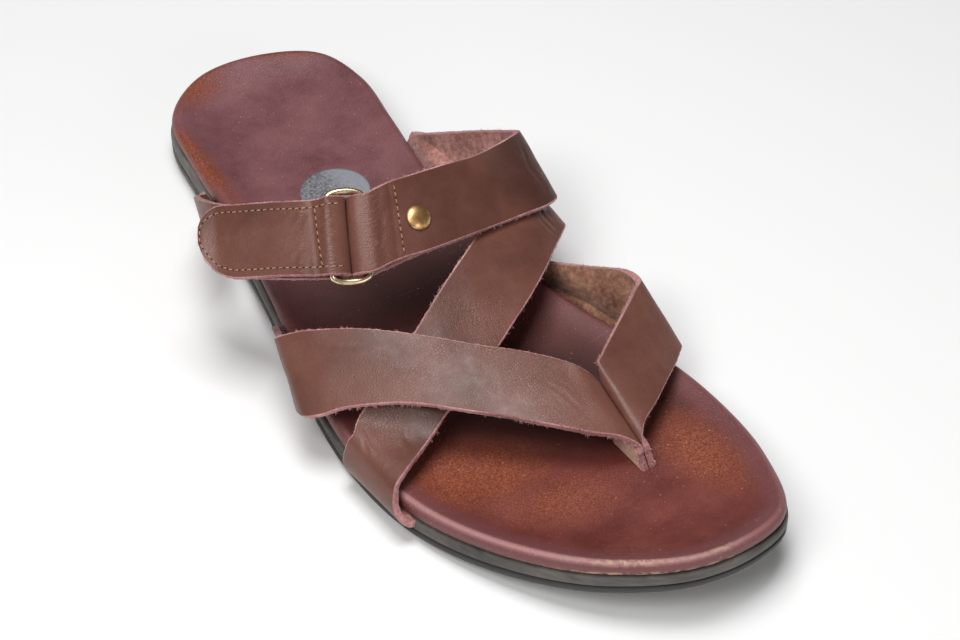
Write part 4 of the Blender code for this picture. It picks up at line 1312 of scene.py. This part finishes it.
def fastening_relief(grid, travelled, share):
    slanted_fold = tab_fold - 0.4 * MM + 3.2 * MM * (0.5 - share)
    bulge = swell(travelled, tab_fold - 4.0 * MM, 1.3 * MM, 0.30 * MM)
    bulge += swell(travelled, tab_fold - 6.2 * MM, 0.9 * MM, -0.16 * MM)
    bulge += swell(travelled, slanted_fold, 0.8 * MM, -0.18 * MM)
    bulge += creases(travelled, share, tab_fold, TAB_CREASES)
    return out_on_strap(travelled) * waves(grid, 32 * MM, 0.25 * MM, 23) + bulge


buckle = strap(
    "fastening_strap", "buckle_strap", buckle_rows, 420, 1, fastening_relief, flesh=grain_leather,
    rounded_end=True, folds=((tab_fold - 5 * MM, 4.0 * MM, 1.0), (tab_fold + 3.5 * MM, 2.0 * MM, 1.0)))

# %% [markdown]
# The ring is a wire bent into a long loop with rounded corners: a small circle of points is
# carried along that loop.

# %% Ring


def ring_path():
    """Centre line of the ring's wire, a rounded loop. Columns: along, across."""
    straight = RING_HALF_LENGTH - RING_END_RISE
    path = []
    for angle in np.radians(range(361)):
        c, s = math.cos(angle), math.sin(angle)
        path.append((RING_END_RISE * c + math.copysign(straight, c), RING_HALF_WIDTH * s))
    return evenly(np.array(path), 181)[:-1]


def make_ring(around=20):
    path = ring_path()
    ahead = np.roll(path, -1, axis=0) - np.roll(path, 1, axis=0)
    ahead /= np.linalg.norm(ahead, axis=1)[:, None]
    points = []
    for (along, across), (ahead_along, ahead_across) in zip(path, ahead):
        outward = long_way * ahead_across - to_instep * ahead_along
        middle = ring_middle + long_way * along + to_instep * across
        points += circle(middle, outward * RING_WIRE, ring_up * RING_WIRE, around)
    return mesh_piece("ring", points, wrap_faces(len(path), around, joined=True), [ring_brass])


dress(make_ring(), "ring")

# %% [markdown]
# The rivet is a low mushroom head on the leather, a stem through it and a washer-like back.
# It is a turned shape, so its profile is written once and carried round its axis. It stands
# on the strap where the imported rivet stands, square to the leather.

# %% Rivet
RIVET_HEAD = 3.7 * MM
STEM_RADIUS = 1.5 * MM
# The head. Columns: radius and height, as shares of the head's radius
HEAD_PROFILE = (
    (0.0135, 0.36), (0.20, 0.355), (0.40, 0.335), (0.60, 0.29), (0.78, 0.22),
    (0.90, 0.14), (0.97, 0.07), (1.0, 0.02), (0.99, -0.02),
)


def nearest_on(grid, normal, place):
    """The point of a grid over a place seen from above, and the normal there."""
    gap = np.hypot(grid[..., 0] - place[0], grid[..., 1] - place[1]) - 0.02 * grid[..., 2]
    spot = np.unravel_index(np.argmin(gap), gap.shape)
    return grid[spot], normal[spot]


def turned(name, profile, centre, axis, material, around=72):
    """A body of revolution. Profile columns: radius, height along the axis."""
    side = unit(np.cross(axis, np.array([0.0, 1.0, 0.3])))
    other = np.cross(axis, side)
    points = []
    for radius, height in profile:
        points += circle(centre + axis * height, side * radius, other * radius, around)
    faces = wrap_faces(len(profile), around)
    faces.append(tuple(range(around)))
    faces.append(tuple(range(len(points) - around, len(points))))
    return mesh_piece(name, points, faces, [material])


rivet_place = np.mean(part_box("rivet"), axis=0)[:2]
rivet_spot, rivet_axis = nearest_on(instep[0][60:330], instep[1][60:330], rivet_place)
profile = [(r * RIVET_HEAD, h * RIVET_HEAD + GAP) for r, h in HEAD_PROFILE]
back = -(2 * LEATHER + 5 * GAP)
profile += [(STEM_RADIUS, 0.0), (STEM_RADIUS, back), (0.90 * RIVET_HEAD, back)]
profile += [(0.86 * RIVET_HEAD, back - 0.5 * MM), (0.1 * MM, back - 0.7 * MM)]
dress(turned("rivet", profile, rivet_spot, rivet_axis, rivet_brass), "rivet")
print("rivet at, mm:", (rivet_spot / MM).round(1))

# %% [markdown]
# Stitches are short slanted bars of waxed thread that dip into the leather at both ends, each
# followed by its needle hole. Both are chains of small rings: full ones for the thread, flat
# dark ones for the hole, which are painted shade: the shade inside the hole.

# %% Stitch maker
STITCH_PITCH = 1.95 * MM
STITCH_LENGTH = 1.3 * MM
THREAD_RADIUS = 0.20 * MM
HOLE_RADIUS = 0.21 * MM
HOLE_OVERLAP = 0.05 * MM
BEAD_POINTS = 8


def stitch_bead(t, up, sideways):
    """Shift, radius and flatness of the thread at a share of its length."""
    hump = math.sin(t * math.pi)
    shift = up * THREAD_RADIUS * (1.5 * hump ** 0.5 - 0.95) + sideways * 0.12 * MM * (t - 0.5)
    return shift, THREAD_RADIUS * (0.75 + 0.25 * hump), 1.0


def hole_bead(t, up, sideways):
    return 0 * up, HOLE_RADIUS * (0.15 + 0.85 * math.sin(t * math.pi) ** 0.5), 0.25


def thread_run(name, line, normals, node):
    """Stitches along a line of points that lies on the leather."""
    travelled = distances(line)
    number = max(int(travelled[-1] / STITCH_PITCH), 1)
    points, faces, slots = [], [], []

    def at(distance, columns=line):
        return np.array([np.interp(distance, travelled, c) for c in columns.T])

    def bead_chain(start, length, beads, bead, slot):
        first = len(points)
        for t in np.arange(beads) / (beads - 1):
            here = start + t * length
            ahead = unit(at(here + 0.1 * MM) - at(here - 0.1 * MM) + 1e-9)
            up = unit(at(here, normals))
            sideways = np.cross(up, ahead)
            shift, radius, flat = bead(t, up, sideways)
            points.extend(circle(at(here) + shift, sideways * radius, up * flat * radius, BEAD_POINTS))
        faces.extend(wrap_faces(beads, BEAD_POINTS, first))
        faces.append(tuple(range(first, first + BEAD_POINTS)))
        faces.append(tuple(range(len(points) - BEAD_POINTS, len(points))))
        slots.extend([slot] * ((beads - 1) * BEAD_POINTS + 2))

    for s in range(number):
        start = (s + 0.5) * travelled[-1] / number - STITCH_LENGTH / 2
        bead_chain(start, STITCH_LENGTH, 9, stitch_bead, 0)
        gap = STITCH_PITCH - STITCH_LENGTH + 2 * HOLE_OVERLAP
        bead_chain(start + STITCH_LENGTH - HOLE_OVERLAP, gap, 5, hole_bead, 1)
    dress(mesh_piece(name, points, faces, [thread, needle_hole_shade], slots), node, stands_for=False)


print("stitches to 10 mm:", round(10 * MM / STITCH_PITCH, 1))

# %% [markdown]
# A line of stitches is laid along the fastening tab's edge, across the tab and down the
# instep strap. Each line is picked off the grid of its strap, a row and a share across.

# %% Stitch lines
STITCH_INSET = 1.9 * MM


def on_strap(made, wanted):
    """A line on a strap with its normals. Wanted: pairs of (row, share across)."""
    line, normals = [], []
    for row, share in wanted:
        low = min(int(share * (ACROSS - 1)), ACROSS - 2)
        part = share * (ACROSS - 1) - low
        for picked, values in ((line, made[0]), (normals, made[1])):
            picked.append(values[row, low] * (1 - part) + values[row, low + 1] * part)
    return np.array(line), np.array(normals)


tab_step = buckle[2][1]
inset_share = STITCH_INSET / np.linalg.norm(buckle[0][:, -1] - buckle[0][:, 0], axis=1)
first = int((tab_fold - 7.5 * MM) / tab_step)
last = len(inset_share) - 1 - int(STITCH_INSET / tab_step)
edge_line = [(i, inset_share[i]) for i in range(first, last, 3)]
edge_line += [(last, t) for t in np.linspace(inset_share[last], 1 - inset_share[last], 8)[1:-1]]
edge_line += [(i, 1 - inset_share[i]) for i in range(last, first, -3)]
cross_line = [(int((tab_fold + (1.2 - 3.2 * t) * MM) / tab_step), t) for t in np.linspace(0.09, 0.91, 24)]
fold_line = [(int(instep_fold / instep[2][1]), t) for t in np.linspace(0.04, 0.96, 24)]
thread_run("tab_edge_stitches", *on_strap(buckle, edge_line), "buckle_strap")
thread_run("tab_cross_stitches", *on_strap(buckle, cross_line), "buckle_strap")
thread_run("instep_stitches", *on_strap(instep, fold_line), "upper")

# %% [markdown]
# Where the hide is cut, loose fibres stand out in small tufts. Each is a thin bent thread;
# they are thicker than real ones, which would be too fine to see.

# %% Fibres on the cut edges
FIBRE_RADIUS = 0.065 * MM
HIDDEN_FOOT = 16 * MM


def fibre(root, along, outwards, up, chance):
    """Four small triangles of points along one bent fibre."""
    way = unit(outwards + along * chance.uniform(-0.9, 0.9) - up * chance.uniform(-0.3, 0.7))
    bend = along * chance.uniform(-0.3, 0.3) * MM
    length = chance.uniform(0.45, 1.15) * MM
    start = root + along * chance.uniform(-0.3, 0.3) * MM
    side = unit(np.cross(way, up + 0.1))
    other = np.cross(side, way)
    points = []
    for t in (0.0, 0.4, 0.75, 1.0):
        radius = FIBRE_RADIUS * (1.15 - t * 0.8)
        points += circle(start + way * length * t + bend * t * t, side * radius, other * radius, 3)
    return points


def fibre_tufts(name, made, tail, tufts, chance):
    """Tufts on both edges of a strap, up to a tail that is hidden."""
    outer, normal, travelled = made
    points, faces = [], []
    for _ in range(tufts):
        row = int(np.searchsorted(travelled, chance.uniform(HIDDEN_FOOT, float(travelled[-1]) - tail)))
        column = chance.choice((0, -1))
        outwards = unit(outer[row, column] - outer[row, -1 - column])
        up = normal[row, column]
        along = unit(outer[min(row + 2, len(outer) - 1), column] - outer[row - 2, column])
        root = outer[row, column] - up * LEATHER * chance.uniform(0.35, 1.0) + outwards * 0.25 * MM
        for _ in range(chance.randint(2, 5)):
            first = len(points)
            points += fibre(root, along, outwards, up, chance)
            faces += wrap_faces(4, 3, first)
            faces += [tuple(range(first, first + 3)), tuple(range(first + 9, first + 12))]
    dress(mesh_piece(name, points, faces, [loose_fibre]), "upper", stands_for=False)


chance = random.Random(5)
fibre_tufts("instep_fibres", instep, 30 * MM, 90, chance)
fibre_tufts("diagonal_fibres", diagonal, 10 * MM, 110, chance)
fibre_tufts("lateral_toe_fibres", lateral_toe, 8 * MM, 120, chance)
fibre_tufts("medial_toe_fibres", medial_toe, 8 * MM, 90, chance)

# %% [markdown]
# The floor is a plain pale sheet. A soft panel hangs above the shoe, a weaker one stands at
# the front left, and a wide low one fills the shade at the toe. The surrounding is white.

# %% Floor and light
FLOOR_HALF = 3.0
corners = [(x * FLOOR_HALF, y * FLOOR_HALF, 0) for x, y in ((-1, -1), (1, -1), (1, 1), (-1, 1))]
floor_mesh = bpy.data.meshes.new("floor")
floor_mesh.from_pydata(corners, [], [(0, 1, 2, 3)])
floor_mesh.materials.append(new_material("white_paper_sweep", Base_Color="#FAFAFA", Roughness=0.9)[0])
floor = bpy.data.objects.new("floor", floor_mesh)
bpy.context.collection.objects.link(floor)

# Panels. Columns: name, place in metres, width and height, watts, colour
PANELS = (
    ("overhead_panel", (-0.02, 0.04, 0.95), (0.45, 0.45), 5.8, (1.0, 1.0, 1.0)),
    ("front_panel", (-0.48, -0.24, 0.75), (0.40, 0.40), 3.3, (1.0, 0.995, 0.99)),
    ("toe_fill", (0.10, -0.85, 0.30), (0.7, 0.3), 1.6, (1.0, 0.99, 0.98)),
)
WORLD_STRENGTH = 0.10


def turn_to(thing, place, aim):
    """Put a lamp or a camera at a place and turn it to what it aims at."""
    thing.location = place
    thing.rotation_euler = (Vector(aim) - Vector(place)).to_track_quat("-Z", "Y").to_euler()
    bpy.context.collection.objects.link(thing)


for name, place, size, power, tint in PANELS:
    light = bpy.data.lights.new(name, "AREA")
    light.shape = "RECTANGLE"
    light.size, light.size_y = size
    light.energy = power
    light.color = tint
    turn_to(bpy.data.objects.new(name, light), place, (0, 0, 0))
world = bpy.data.worlds.new("white_room")
bpy.context.scene.world = world
world.use_nodes = True
world.node_tree.nodes["Background"].inputs["Color"].default_value = (1.0, 1.0, 1.0, 1.0)
world.node_tree.nodes["Background"].inputs["Strength"].default_value = WORLD_STRENGTH

# %% [markdown]
# The camera stands where the photograph's camera stood, on the toe and lateral side and 44
# degrees up. Only its aim and its zoom differ, so the one shoe fills the frame.

# %% Camera
CAMERA_PLACE = (-0.2303 + SHIFT[0], -0.4107 + SHIFT[1], 0.4676)
CAMERA_AIM = (0.0095, -0.0188, 0.018)
FOCAL_MM = 85.0
camera_data = bpy.data.cameras.new("camera")
camera_data.sensor_width = 36.0
camera_data.lens = FOCAL_MM
camera = bpy.data.objects.new("camera", camera_data)
turn_to(camera, CAMERA_PLACE, CAMERA_AIM)
bpy.context.scene.camera = camera
bpy.context.scene.view_settings.view_transform = "Standard"
print("camera at, mm:", [round(v / MM, 1) for v in camera.location])

# %% [markdown]

# %% End
print("all pieces made")
